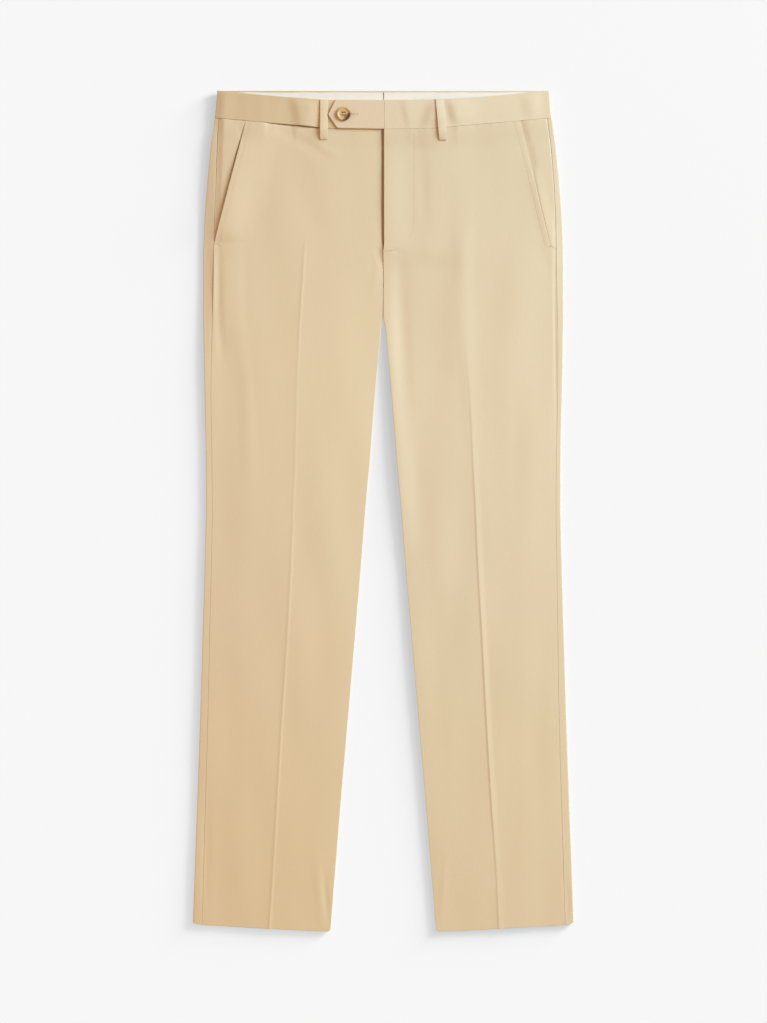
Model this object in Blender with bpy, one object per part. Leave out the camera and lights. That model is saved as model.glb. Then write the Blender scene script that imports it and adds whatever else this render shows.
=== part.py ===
"""Chino trousers, laid flat on their back with the fly up.

Frame: +X to the wearer's left, +Y to the waist, +Z up, with the origin on the table under the middle
of the outline. Sizes are in millimetres. `across` is the distance from the middle line towards a leg's
outer side, `drop` the distance down from the waist's top edge, and `height` the distance above the table.
Every cloth piece is a wall between an outer face, worked out in sections, and the same face moved in.
"""
import math

import bmesh
import bpy
import numpy as np

MM = 0.001

# Driving sizes
LENGTH = 1068.0         # top of the waist to the hem
CLOTH = 1.2             # wall of the twill
BAND_CLOTH = 2.2        # waistband: two layers of twill on interfacing
LINING_CLOTH = 1.0
LOOP_CLOTH = 1.2
GAP = 0.3               # between two pieces at a seam
MIDDLE_GAP = 0.15       # half a gap, on each side of the middle line

# Heights above the table
LEG_TOP = 5.6           # upper face of a leg, below the waistband
LEG_SETTLE = 1.4        # how much lower it lies down the leg, with the front on the back
WAIST_LOFT = 300.0      # length over which it comes down
WAIST_RISE = 1.4        # extra height of the upper face where it meets the waistband
WAIST_RISE_LENGTH = 30.0
BACK_LIFT = 1.7         # the back's underside beside the waistband, clear of the belt loops
BACK_LIFT_FLAT = 54.0   # drop down to which that lift is level
BACK_LIFT_LENGTH = 34.0
BAND_FOOT = 1.5         # underside of the waistband's back half
BAND_TOP = 7.6          # upper face of its front half
BAND_MIDDLE = 17.0      # drop halfway down the waistband at the side fold
BAND_LEAN_START = 190.0 # from here out the waistband leans with the outline
SIDE_FOLD = 3.4         # horizontal radius of a leg's outer fold
BAND_FOLD = 3.1         # horizontal radius of the waistband's side fold
INNER_ROLL = 3.0        # horizontal radius of a leg's inner edge
FLAT_ROLL = 1.5         # the same beside the middle seam, where it turns no height
ROLL_QUARTER = 1.9      # an edge that rolls this far down turns through a quarter

CREASE_HALF_WIDTH = 9.0 # of the pressed creases down the fronts

# Fly and waistband overlap: the left front laps over the right one
FLY_EDGE = 1.0          # across-distance of the left front's folded edge
FLY_FOOT = 192.0        # drop at the foot of the fly
FLY_RUN_IN = 14.0       # length over which the fronts' edges run in to the middle line
LAP_BELOW_FOOT = 6.0    # the lapped part stays level this far below the foot of the fly
LAP_SETTLE = 34.0       # then it settles over this length
FLY_LIFT = 2.0
BAND_LIFT = 2.5
UNDERLAP = 4.0          # right front's edge beyond the middle line
SHIELD_WIDTH = 36.0
SHIELD_FOOT = 186.0
SHIELD_ROUND = 0.6      # the shield's foot is rounded from this fraction of its length
SHIELD_TIP = 0.02       # smallest square of its width there, as a fraction
BAND_UNDERLAP = 38.0    # right waistband beyond the middle line, under the tab
CROTCH = 284.0          # drop of the crotch point
CREVICE = 68.0          # height of the crevice where the fronts roll down to the crotch

# How far the left front and waistband are lifted by what they lap over, as fractions of their lifts.
# The front dips at the fly's stitched curve.
LAP = (
    ("across", "front", "band"),
    (0, 1.0, 1.0),
    (12, 0.98, 1.0),
    (30, 0.86, 1.0),
    (40, 0.78, 1.0),
    (46, 0.80, 0.98),
    (58, 0.88, 0.93),
    (78, 0.70, 0.78),
    (110, 0.30, 0.45),
    (140, 0.05, 0.18),
    (175, 0.0, 0.0),
)

# Outline of one leg, down its length. Rise is the crease's height, and inset the side seam's
# distance from the outer fold.
OUTLINE = (
    ("drop", "side", "inner", "crease_right", "crease_left", "rise", "inset_right", "inset_left"),
    (0, 210.8, 0.15, 92.0, 99.0, 0.0, 5.0, 5.0),
    (35, 213.9, 0.15, 93.0, 99.5, 0.0, 5.5, 5.5),
    (70, 218.9, 0.15, 94.0, 100.0, 0.0, 8.5, 6.0),
    (120, 223.9, 0.15, 96.0, 100.5, 0.1, 11.0, 7.0),
    (170, 227.4, 0.15, 98.0, 101.0, 0.35, 12.3, 8.3),
    (220, 228.9, 0.15, 101.0, 101.8, 0.6, 13.2, 9.0),
    (284, 228.9, 0.15, 105.2, 103.2, 0.75, 12.2, 7.8),
    (305, 228.6, 3.2, 106.5, 104.2, 0.8, 11.2, 7.0),
    (330, 228.2, 5.4, 107.6, 106.0, 0.8, 10.0, 6.5),
    (400, 226.8, 11.5, 110.3, 111.0, 0.85, 7.8, 5.5),
    (470, 225.4, 17.0, 111.8, 114.3, 0.9, 7.6, 5.5),
    (520, 225.2, 21.6, 113.3, 116.0, 0.95, 8.0, 5.8),
    (600, 226.9, 27.9, 116.6, 118.5, 1.0, 8.5, 6.5),
    (700, 229.8, 36.4, 121.0, 124.8, 1.1, 9.0, 8.0),
    (800, 232.8, 44.9, 128.0, 131.0, 1.2, 9.8, 9.3),
    (900, 236.3, 53.6, 135.0, 136.0, 1.25, 10.5, 10.0),
    (1000, 240.0, 61.7, 140.5, 143.5, 1.3, 11.5, 10.7),
    (1068, 242.4, 67.2, 145.0, 147.4, 1.3, 12.3, 11.0),
)

# Waistband edges, as drops: the front half's top edge dips at the middle, the back half's is straight.
WAIST = (
    ("across", "front_top", "front_seam", "back_top", "back_seam"),
    (0, 12.3, 49.4, 0.0, 37.0),
    (60, 11.9, 48.6, 0.0, 37.0),
    (107, 9.5, 44.4, 0.0, 36.6),
    (152, 5.8, 40.5, 0.0, 36.0),
    (185, 2.6, 37.6, 0.0, 35.4),
    (212, 0.0, 35.0, 0.0, 35.0),
)

# Hem of a leg, slightly bowed, with soft corners.
HEM = (
    ("across", "drop"),
    (0, 1066.0),
    (66, 1065.0),
    (70, 1068.0),
    (130, 1065.5),
    (190, 1062.2),
    (236, 1059.0),
    (242.4, 1056.5),
)

# Levels of the leg sections, as fractions of the way from the waist seam to the hem.
LEVELS = (
    0, 0.012, 0.025, 0.042, 0.065, 0.1, 0.135, 0.165, 0.18, 0.198, 0.215, 0.2305, 0.24, 0.25, 0.265,
    0.29, 0.33, 0.39, 0.46, 0.53, 0.60, 0.67, 0.74, 0.81, 0.88, 0.94, 0.975, 1,
)

# Where a section has its points, as fractions of the stretch that each line names
FRONT_OUTER_STEPS = (0, 0.1, 0.25, 0.45, 0.7)       # side seam or mouth, to the crease
FRONT_INNER_STEPS = (0.3, 0.55, 0.78, 1)            # crease to the inner roll
BACK_STEPS = (0.12, 0.5, 0.88, 1)                   # outer fold to the inner roll
FACING_STEPS = (0, 0.3, 0.65, 1)                    # side seam to the mouth
FACING_LEVELS = (0, 0.1, 0.2, 0.4, 0.6, 0.8, 0.92, 1)       # waist seam to the mouth's foot
SHIELD_LEVELS = (0, 0.1, 0.2, 0.4, 0.6, 0.78, 0.9, 0.97, 1)
SHIELD_STEPS = (0, 0.5, 1)
BAND_LEVELS = (0, 0.5, 1)
LOOP_LEVELS = (0, 0.15, 0.35, 0.55, 0.7, 0.8, 0.9, 1)

# Across-distances of the waistband's points on the front, closer where the left half comes down
BAND_STOPS_LEFT = (21.0, 42.0, 60.0, 78.0, 95.0, 110.0, 125.0, 140.0, 158.0, 180.0)
BAND_STOPS_RIGHT = (0.0, 40.0, 80.0, 120.0, 150.0, 180.0)
BAND_STOPS_BACK = (160.0, 80.0)

# White lining of the waistband's back half
LINING_STOPS = (204.0, 102.0, 0.6)
LINING_DROPS = (3.3, 18.0, 34.0)

# Largest soft folds of the fronts: a ridge, or a hollow where the rise is negative, between two ends.
FOLDS = (
    ("side", "top_across", "top_drop", "foot_across", "foot_drop", "half_width", "rise"),
    ("right", 206.0, 190.0, 202.0, 320.0, 17.0, 0.9),
    ("right", 204.0, 270.0, 200.0, 640.0, 28.0, -0.7),
    ("right", 62.0, 300.0, 74.0, 640.0, 34.0, 0.45),
    ("right", 196.0, 720.0, 206.0, 1066.0, 30.0, -0.5),
    ("left", 41.0, 222.0, 50.0, 470.0, 32.0, -0.6),
    ("left", 93.0, 150.0, 97.0, 400.0, 24.0, 0.6),
    ("left", 166.0, 110.0, 168.0, 470.0, 44.0, 0.6),
    ("left", 60.0, 420.0, 78.0, 700.0, 30.0, 0.4),
    ("left", 196.0, 780.0, 202.0, 1066.0, 26.0, -0.4),
)

# What differs between the wearer's two sides. The mouth runs from the waist seam to its foot.
SIDES = (
    {
        "name": "right", "sign": -1, "lap": 0.0,
        "mouth_top": 176.9, "mouth_foot": 214.6, "mouth_foot_drop": 193.0, "gape": 1.6,
    },
    {
        "name": "left", "sign": 1, "lap": FLY_LIFT,
        "mouth_top": 174.9, "mouth_foot": 212.4, "mouth_foot_drop": 196.5, "gape": 0.3,
    },
)
MOUTH_SHELF = 5.0       # below the mouth's foot the front's edge runs out to the side seam
MOUTH_SOFT = 35.0       # how far in from the mouth its gape fades
FACING_SINK = 1.9       # the facing lies this far below the front's outer face
FACING_SEWN = 1.5       # the same where both are sewn into the waistband
FACING_HIDDEN = 28.0    # width of the facing under the front
FACING_SLOPE = 14.0     # where more than this shows, its outer edge is level with the front
FACING_LEAST = 1.0      # the facing reaches at least this far from the side seam
FACING_SEWN_END = 0.03  # level down to which the waistband still holds it up

# Waistband tab, with rounded corners: its outline, from the seam at the fly round to the point
TAB = (
    ("x", "drop"),
    (1.3, 12.6),
    (-58.5, 11.9),
    (-61.2, 13.6),
    (-69.3, 29.6),
    (-69.3, 32.6),
    (-59.3, 47.0),
    (-56.6, 48.3),
    (1.3, 49.3),
)
BAND_SEAM_X = 1.6       # where the left half's end meets the tab
TAB_TOP = BAND_TOP + BAND_LIFT

# Belt loops: middle of the top and bottom ends
LOOP_WIDTH = 10.0
LOOP_BOW = 1.0
LOOP_STEP = 9.0         # length of the step down from the waistband to the front
LOOP_STEP_START = 1.5   # where it starts, below the waist seam
FRONT_LOOPS = (
    ("name", "top_x", "foot_x", "top_drop", "foot_drop"),
    ("right", -75.2, -75.2, 12.0, 62.7),
    ("left", 72.1, 77.4, 11.6, 64.0),
)
BACK_LOOPS = (("name", "x"), ("right", -125.0), ("centre", 0.0), ("left", 125.0))
BACK_LOOP_DROPS = (0.5, 25.0, 50.0)

# Button
BUTTON_X = -50.2
BUTTON_DROP = 30.4
BUTTON_RADIUS = 9.0
BUTTON_PROFILE = (
    ("inset", "height"),
    (9.0, 0.0),
    (1.2, 0.0),
    (0.3, 0.6),
    (0.0, 1.6),
    (0.5, 2.6),
    (1.2, 3.0),
    (2.2, 2.55),
    (3.2, 2.1),
    (9.0, 2.1),
)
BUTTON_SIDES = 24
HOLE_RADIUS = 0.9
HOLE_PITCH = 3.4
HOLE_SIDES = 12
HOLE_DEPTH = 12.0       # length of the cutters, right through

# Colour, roughness
TWILL = ((0.72, 0.57, 0.37), 0.9)
LINING = ((0.90, 0.87, 0.80), 0.9)
HORN = ((0.55, 0.33, 0.10), 0.35)


# ---------------------------------------------------------------- curves through the tables

def read(table, column, at):
    """Value of a column at a place along the first one, on a smooth curve that never overshoots."""
    index = table[0].index(column)
    places = np.array([row[0] for row in table[1:]], float)
    values = np.array([row[index] for row in table[1:]], float)
    secants = np.diff(values) / np.diff(places)
    slopes = np.concatenate((secants[:1], np.zeros(len(values) - 2), secants[-1:]))
    before, after = secants[:-1], secants[1:]
    same_way = before * after > 0
    slopes[1:-1][same_way] = 2 * (before * after)[same_way] / (before + after)[same_way]
    at = np.clip(at, places[0], places[-1])
    k = np.clip(np.searchsorted(places, at, side="right") - 1, 0, len(places) - 2)
    span = places[k + 1] - places[k]
    t = (at - places[k]) / span
    start = values[k] * (1 + 2 * t) * (1 - t) ** 2 + slopes[k] * span * t * (1 - t) ** 2
    end = values[k + 1] * (3 - 2 * t) * t ** 2 + slopes[k + 1] * span * (t - 1) * t ** 2
    return start + end


def ease(t):
    """0 to 1 with level ends."""
    t = np.clip(t, 0, 1)
    return t * t * (3 - 2 * t)


def mix(a, b, t):
    return a + (b - a) * t


# ---------------------------------------------------------------- lines of the garment

def drop_at(level, across, seam="front_seam"):
    """Drop of a point whose level is a fraction of the way from the waist seam to the hem."""
    top = read(WAIST, seam, np.abs(across)) + GAP
    return mix(top, read(HEM, "drop", np.abs(across)), level)


def settle(level, line, seam="front_seam"):
    """Across-distance and drop where a line of the garment crosses a level."""
    across = line(0.0)
    for _ in range(4):
        across = line(drop_at(level, across, seam))
    return float(across), float(drop_at(level, across, seam))


def outer_fold(drop):
    return read(OUTLINE, "side", drop)


def side_seam(side, drop):
    return outer_fold(drop) - read(OUTLINE, "inset_" + side["name"], drop)


def crease(side, drop):
    return read(OUTLINE, "crease_" + side["name"], drop)


def mouth(side, drop):
    """Across-distance of the pocket mouth."""
    top_drop = read(WAIST, "front_seam", side["mouth_top"]) + GAP
    t = (drop - top_drop) / (side["mouth_foot_drop"] - top_drop)
    return mix(side["mouth_top"], side["mouth_foot"], t)


def front_outer_edge(side, drop):
    """The pocket mouth, then a short shelf out to the side seam, then the side seam."""
    below = (drop - side["mouth_foot_drop"]) / MOUTH_SHELF
    if below <= 0:
        return mouth(side, drop)
    return mix(side["mouth_foot"], side_seam(side, drop), min(below, 1.0))


def inseam(drop):
    """Inner edge of a leg; above the crotch, the middle line."""
    return read(OUTLINE, "inner", drop)


def front_inner_edge(side, drop):
    """The fly edge, running in to the middle line below the fly's foot, then the inseam."""
    top_edge = FLY_EDGE if side["sign"] > 0 else -UNDERLAP
    start = FLY_FOOT - FLY_RUN_IN if side["sign"] < 0 else FLY_FOOT
    return mix(top_edge, inseam(drop), ease((drop - start) / FLY_RUN_IN))


# ---------------------------------------------------------------- heights

def lap(piece, across, drop):
    """0 to 1: how far the left front or band is lifted by what it lies over."""
    return read(LAP, piece, across) * (1 - ease((drop - FLY_FOOT - LAP_BELOW_FOOT) / LAP_SETTLE))


def soft_folds(side, across, drop):
    """Height that the large soft folds add."""
    total = 0.0 * across
    for name, top_across, top_drop, foot_across, foot_drop, half_width, rise in FOLDS[1:]:
        if name == side["name"]:
            along = (drop - top_drop) / (foot_drop - top_drop)
            from_line = np.abs(across - mix(top_across, foot_across, along)) / half_width
            swell = np.sin(math.pi * np.clip(along, 0, 1))
            total = total + rise * swell * (1 - ease(from_line))
    return total


def leg_height(across, drop):
    """Height of a leg's upper face before its creases and folds."""
    below_band = drop - read(WAIST, "front_seam", np.abs(across))
    return LEG_TOP - LEG_SETTLE * ease(below_band / WAIST_LOFT)


def upper_face(side, across, drop):
    """Height of a leg's upper outer face."""
    beside_band = 1 - ease((drop - read(WAIST, "front_seam", np.abs(across))) / WAIST_RISE_LENGTH)
    from_crease = np.abs(across - crease(side, drop)) / CREASE_HALF_WIDTH
    ridge = read(OUTLINE, "rise", drop) * np.clip(1 - from_crease, 0, 1)
    lapped = side["lap"] * lap("front", across, drop)
    rest = leg_height(across, drop) + WAIST_RISE * beside_band
    return rest + ridge + lapped + soft_folds(side, across, drop)


def lower_face(drop):
    """Height of the underside: on the table, but for a low step beside the waistband."""
    return BACK_LIFT * (1 - ease((drop - BACK_LIFT_FLAT) / BACK_LIFT_LENGTH))


def mouth_lift(side, across, drop):
    """How far the pocket mouth gapes, fading into the front."""
    top_drop = read(WAIST, "front_seam", side["mouth_top"])
    along = np.clip((drop - top_drop) / (side["mouth_foot_drop"] - top_drop), 0, 1)
    inward = 1 - ease((mouth(side, drop) - across) / MOUTH_SOFT)
    return side["gape"] * np.sin(math.pi * along) * inward


def roll_steps(width, rise):
    """Fractions of width and rise at even turns of the face, round a quarter of an oval or less of it."""
    rise = max(abs(rise), CLOTH)
    whole = math.pi / 2 * min(rise / ROLL_QUARTER, 1)
    turns = [whole * t for t in (1 / 3, 2 / 3, 1)]
    angles = [math.atan2(width * math.sin(turn), rise * math.cos(turn)) for turn in turns]
    end = angles[-1]
    return [(math.sin(a) / math.sin(end), (1 - math.cos(a)) / (1 - math.cos(end))) for a in angles]


def roll_width(drop):
    """Horizontal radius of a leg's inner edge."""
    return mix(FLAT_ROLL, INNER_ROLL, ease((drop - CROTCH + CREVICE) / CREVICE))


def front_edge_height(top, drop):
    """The fronts' inner edges roll from the upper face down to mid-height at the crotch."""
    middle = leg_height(0.0, drop) / 2 + MIDDLE_GAP
    return mix(top, middle, ease((drop - CROTCH + CREVICE) / CREVICE))


def back_edge_height(drop):
    """The backs' inner edges roll from the underside up to mid-height at the crotch."""
    middle = leg_height(0.0, drop) / 2 - MIDDLE_GAP
    return mix(lower_face(drop), middle, ease((drop - CROTCH + CREVICE / 2) * 2 / CREVICE))


# ---------------------------------------------------------------- making solids

def make_material(name, look):
    colour, roughness = look
    material = bpy.data.materials.new(name)
    material.use_nodes = True
    shader = material.node_tree.nodes["Principled BSDF"]
    shader.inputs["Base Color"].default_value = (*colour, 1)
    shader.inputs["Roughness"].default_value = roughness
    shader.inputs["Metallic"].default_value = 0.0
    material.diffuse_color = (*colour, 1)
    return material


def add_object(name, shape, look):
    """Turn a bmesh into a named object with its own material."""
    bmesh.ops.recalc_face_normals(shape, faces=shape.faces)
    mesh = bpy.data.meshes.new(name)
    shape.to_mesh(mesh)
    shape.free()
    mesh.shade_smooth()
    mesh.set_sharp_from_angle(angle=math.radians(35))
    mesh.materials.append(make_material(name, look))
    piece = bpy.data.objects.new(name, mesh)
    bpy.context.scene.collection.objects.link(piece)
    return piece


def place(across, drop, height, sign=1):
    """A point of the garment, in metres."""
    return (sign * across * MM, (LENGTH / 2 - drop) * MM, height * MM)


def inward(sections, wall, turn):
    """Sections moved in by the wall, square to their own line in the across-height plane."""
    moved = []
    for section in sections:
        points = np.array(section, float)
        steps = np.diff(points[:, :2], axis=0)
        headings = np.unwrap(np.arctan2(steps[:, 1], steps[:, 0]))
        first = 1.5 * headings[0] - 0.5 * headings[1]
        last = 1.5 * headings[-1] - 0.5 * headings[-2]
        headings = np.concatenate(([first], (headings[:-1] + headings[1:]) / 2, [last]))
        points[:, 0] += turn * wall * np.sin(headings)
        points[:, 1] -= turn * wall * np.cos(headings)
        moved.append(points)
    return moved


def sheet(name, sections, wall, look, turn=1, sign=1):
    """A closed wall of cloth through sections of (across, height, drop) points on its outer face.

    With turn 1 the outer face lies on the left of each section's direction, in the plane of
    across and height; with turn -1 it lies on the right.
    """
    shape = bmesh.new()
    faces = []
    for layer in (sections, inward(sections, wall, turn)):
        faces.append([[shape.verts.new(place(a, d, h, sign)) for a, h, d in row] for row in layer])
    outer, inner = faces
    last_row = len(outer) - 1
    last = len(outer[0]) - 1
    for i in range(last_row):
        for j in range(last):
            for grid in (outer, inner):
                shape.faces.new((grid[i][j], grid[i + 1][j], grid[i + 1][j + 1], grid[i][j + 1]))
    for i in range(last_row):
        for j in (0, last):
            shape.faces.new((outer[i][j], outer[i + 1][j], inner[i + 1][j], inner[i][j]))
    for j in range(last):
        for i in (0, last_row):
            shape.faces.new((outer[i][j], outer[i][j + 1], inner[i][j + 1], inner[i][j]))
    return add_object(name, shape, look)


# ---------------------------------------------------------------- legs

def mouth_levels(side):
    """Levels of the foot of the pocket mouth and of the shelf below it."""
    top = drop_at(0, side["mouth_foot"])
    height = drop_at(1, side["mouth_foot"]) - top
    foot = (side["mouth_foot_drop"] - top) / height
    return float(foot), float(foot + MOUTH_SHELF / height)


def front_section(side, level):
    """From the pocket mouth or side seam across the upper face, over the crease, to the inner edge."""
    outer, _ = settle(level, lambda drop: front_outer_edge(side, drop))
    fold, _ = settle(level, lambda drop: crease(side, drop))
    inner, inner_drop = settle(level, lambda drop: front_inner_edge(side, drop))
    roll = float(roll_width(inner_drop))
    ridge = (fold + CREASE_HALF_WIDTH, fold, fold - CREASE_HALF_WIDTH)
    across = [mix(outer, ridge[0], t) for t in FRONT_OUTER_STEPS]
    across += ridge
    across += [mix(ridge[2], inner + roll, t) for t in FRONT_INNER_STEPS]
    across = np.array(across)
    drops = drop_at(level, across)
    heights = upper_face(side, across, drops) + mouth_lift(side, across, drops)
    section = list(zip(across, heights, drops))
    top = heights[-1]
    edge = front_edge_height(top, inner_drop)
    for reach, fall in roll_steps(roll, top - edge):
        at = inner + roll * (1 - reach)
        section.append((at, mix(top, edge, fall), float(drop_at(level, at))))
    return section


def back_section(side, level):
    """From the side seam on the upper face round the outer fold, along the table to the inner edge."""
    seam, seam_drop = settle(level, lambda drop: side_seam(side, drop))
    fold, fold_drop = settle(level, outer_fold)
    inner, inner_drop = settle(level, inseam, "back_seam")
    seam += GAP
    centre = fold - SIDE_FOLD
    top = float(upper_face(side, centre, fold_drop))
    foot = float(lower_face(fold_drop))
    section = [(seam, float(upper_face(side, seam, seam_drop)), seam_drop)]
    for angle in range(0, 181, 30):
        turn = math.radians(angle)
        height = mix(foot, top, (1 + math.cos(turn)) / 2)
        section.append((centre + SIDE_FOLD * math.sin(turn), height, fold_drop))
    roll = float(roll_width(inner_drop))
    for t in BACK_STEPS:
        at = mix(centre, inner + roll, t)
        drop = float(drop_at(level, at, "back_seam"))
        section.append((at, float(lower_face(drop)), drop))
    edge = back_edge_height(inner_drop)
    for reach, rise in roll_steps(roll, edge - section[-1][1]):
        at = inner + roll * (1 - reach)
        drop = float(drop_at(level, at, "back_seam"))
        section.append((at, mix(float(lower_face(drop)), edge, rise), drop))
    return section


def facing_section(side, level):
    """From the side seam down behind the pocket mouth and on under the front."""
    seam, seam_drop = settle(level, lambda drop: side_seam(side, drop))
    opening, _ = settle(level, lambda drop: front_outer_edge(side, drop))
    seam -= GAP
    full_sink = mix(FACING_SEWN, FACING_SINK, float(ease(level / FACING_SEWN_END)))
    sunk_edge = FACING_SINK * (1 - ease((seam - opening) / FACING_SLOPE))
    section = []
    for t in FACING_STEPS:
        at = mix(seam, min(opening, seam - FACING_LEAST), t)
        drop = float(drop_at(level, at))
        sink = mix(sunk_edge, full_sink, ease(t))
        section.append((at, float(upper_face(side, at, drop)) - sink, drop))
    hidden = section[-1][0] - FACING_HIDDEN
    drop = float(drop_at(level, hidden))
    section.append((hidden, float(upper_face(side, hidden, drop)) - full_sink, drop))
    return section


def make_legs():
    for side in SIDES:
        name, sign = side["name"], side["sign"]
        foot, shelf = mouth_levels(side)
        levels = sorted(LEVELS + (foot, shelf))
        fronts = [front_section(side, level) for level in levels]
        sheet("front_" + name, fronts, CLOTH, TWILL, turn=-1, sign=sign)
        backs = [back_section(side, level) for level in levels]
        sheet("back_" + name, backs, CLOTH, TWILL, sign=sign)
        stops = [foot * t for t in FACING_LEVELS]
        facings = [facing_section(side, level) for level in stops + [shelf]]
        sheet("pocket_facing_" + name, facings, CLOTH, TWILL, turn=-1, sign=sign)


def make_fly_shield():
    """The strip behind the fly, sewn to the right front's edge, with a curved foot."""
    right = SIDES[0]
    start = UNDERLAP + GAP
    sections = []
    for t in SHIELD_LEVELS:
        drop = mix(read(WAIST, "front_seam", 0.0) + GAP, SHIELD_FOOT, t)
        rounded = max((t - SHIELD_ROUND) / (1 - SHIELD_ROUND), 0)
        width = SHIELD_WIDTH * math.sqrt(max(1 - rounded ** 2, SHIELD_TIP))
        reach = [start + width * s for s in SHIELD_STEPS]
        sections.append([(x, float(upper_face(right, -x, drop)), float(drop)) for x in reach])
    sheet("fly_shield", sections, CLOTH, TWILL)


# ---------------------------------------------------------------- waistband

def band_path(side):
    """Across and height down the waistband: from the fly out, round the side fold, to the back seam."""
    lifted = side["sign"] > 0
    edge = float(outer_fold(BAND_MIDDLE)) - BAND_FOLD
    stops = (-BAND_UNDERLAP,) + BAND_STOPS_RIGHT + (edge,)
    if lifted:
        stops = (BAND_SEAM_X,) + BAND_STOPS_LEFT + (edge,)
    rise = BAND_LIFT if lifted else 0.0
    path = [(at, BAND_TOP + rise * float(lap("band", at, 0.0)), "front") for at in stops]
    for angle in range(30, 180, 30):
        turn = math.radians(angle)
        height = mix(BAND_FOOT, BAND_TOP, (1 + math.cos(turn)) / 2)
        face = "front" if angle < 90 else "back"
        path.append((edge + BAND_FOLD * math.sin(turn), height, face))
    path += [(at, BAND_FOOT, "back") for at in (edge,) + BAND_STOPS_BACK + (MIDDLE_GAP,)]
    return path


def make_waistband():
    for side in SIDES:
        sections = []
        middle = outer_fold(BAND_MIDDLE)
        for t in BAND_LEVELS:
            section = []
            for at, height, face in band_path(side):
                top = read(WAIST, face + "_top", abs(at))
                foot = read(WAIST, face + "_seam", abs(at))
                drop = float(mix(top, foot, t))
                near_fold = max(at - BAND_LEAN_START, 0.0) / (middle - BAND_LEAN_START)
                lean = near_fold * float(outer_fold(drop) - middle)
                section.append((at + lean, height, drop))
            sections.append(section)
        sheet("waistband_" + side["name"], sections, BAND_CLOTH, TWILL, sign=side["sign"])


def make_lining():
    """White inner waistband on the back half, seen where the front half dips."""
    height = BAND_FOOT + BAND_CLOTH + GAP + LINING_CLOTH
    sections = [[(at, height, drop) for at in LINING_STOPS] for drop in LINING_DROPS]
    for side in SIDES:
        name = "waistband_lining_" + side["name"]
        sheet(name, sections, LINING_CLOTH, LINING, turn=-1, sign=side["sign"])


def make_tab():
    outline = [place(x, drop, TAB_TOP - BAND_CLOTH) for x, drop in TAB[1:]]
    shape = bmesh.new()
    face = shape.faces.new([shape.verts.new(point) for point in outline])
    raised = bmesh.ops.extrude_face_region(shape, geom=[face])
    verts = [item for item in raised["geom"] if isinstance(item, bmesh.types.BMVert)]
    bmesh.ops.translate(shape, verts=verts, vec=(0, 0, BAND_CLOTH * MM))
    add_object("waistband_tab", shape, TWILL)


# ---------------------------------------------------------------- belt loops

def front_loop_height(side, x, drop, along):
    """Outer face of a front loop: bowed over the waistband, then down onto the front."""
    across = abs(x)
    seam = float(read(WAIST, "front_seam", across))
    lift = BAND_LIFT * float(lap("band", across, 0.0)) if side["sign"] > 0 else 0.0
    band = BAND_TOP + lift
    panel = float(upper_face(side, across, drop))
    carrier = mix(band, panel, float(ease((drop - seam - LOOP_STEP_START) / LOOP_STEP)))
    return carrier + GAP + LOOP_CLOTH + LOOP_BOW * math.sin(math.pi * along)


def make_front_loops():
    for name, top_x, foot_x, top_drop, foot_drop in FRONT_LOOPS[1:]:
        side = SIDES[0] if name == "right" else SIDES[1]
        sections = []
        for along in LOOP_LEVELS:
            middle = mix(top_x, foot_x, along)
            drop = mix(top_drop, foot_drop, along)
            edges = (middle - LOOP_WIDTH / 2, middle, middle + LOOP_WIDTH / 2)
            height = max(front_loop_height(side, x, drop, along) for x in edges)
            sections.append([(x, height, drop) for x in edges])
        sheet("belt_loop_front_" + name, sections, LOOP_CLOTH, TWILL)


def make_back_loops():
    for name, x in BACK_LOOPS[1:]:
        edges = (x - LOOP_WIDTH / 2, x, x + LOOP_WIDTH / 2)
        sections = [[(at, LOOP_CLOTH, drop) for at in edges] for drop in BACK_LOOP_DROPS]
        sheet("belt_loop_back_" + name, sections, LOOP_CLOTH, TWILL)


# ---------------------------------------------------------------- button

def make_button():
    """A turned disc with a raised rim and four holes."""
    shape = bmesh.new()
    foot = TAB_TOP + GAP
    profile = [(BUTTON_RADIUS - inset, foot + height) for inset, height in BUTTON_PROFILE[1:]]
    verts = [shape.verts.new((radius * MM, 0, height * MM)) for radius, height in profile]
    edges = [shape.edges.new(pair) for pair in zip(verts, verts[1:])]
    bmesh.ops.spin(
        shape, geom=verts + edges, cent=(0, 0, 0), axis=(0, 0, 1), angle=2 * math.pi,
        steps=BUTTON_SIDES, use_merge=True, use_duplicate=False,
    )
    bmesh.ops.remove_doubles(shape, verts=shape.verts, dist=1e-5)
    button = add_object("button", shape, HORN)
    button.location = place(BUTTON_X, BUTTON_DROP, 0)

    holes = bmesh.new()
    for x in (-HOLE_PITCH / 2, HOLE_PITCH / 2):
        for y in (-HOLE_PITCH / 2, HOLE_PITCH / 2):
            made = bmesh.ops.create_cone(
                holes, cap_ends=True, segments=HOLE_SIDES, radius1=HOLE_RADIUS * MM,
                radius2=HOLE_RADIUS * MM, depth=HOLE_DEPTH * MM,
            )
            bmesh.ops.translate(holes, verts=made["verts"], vec=(x * MM, y * MM, foot * MM))
    cutter = add_object("button_holes", holes, HORN)
    cutter.location = button.location
    cutter.hide_render = True
    cutter.display_type = "WIRE"
    cut = button.modifiers.new("holes", "BOOLEAN")
    cut.operation = "DIFFERENCE"
    cut.solver = "EXACT"
    cut.object = cutter


def main():
    for old in list(bpy.data.objects):
        bpy.data.objects.remove(old)
    make_legs()
    make_fly_shield()
    make_waistband()
    make_lining()
    make_tab()
    make_front_loops()
    make_back_loops()
    make_button()


main()
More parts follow.
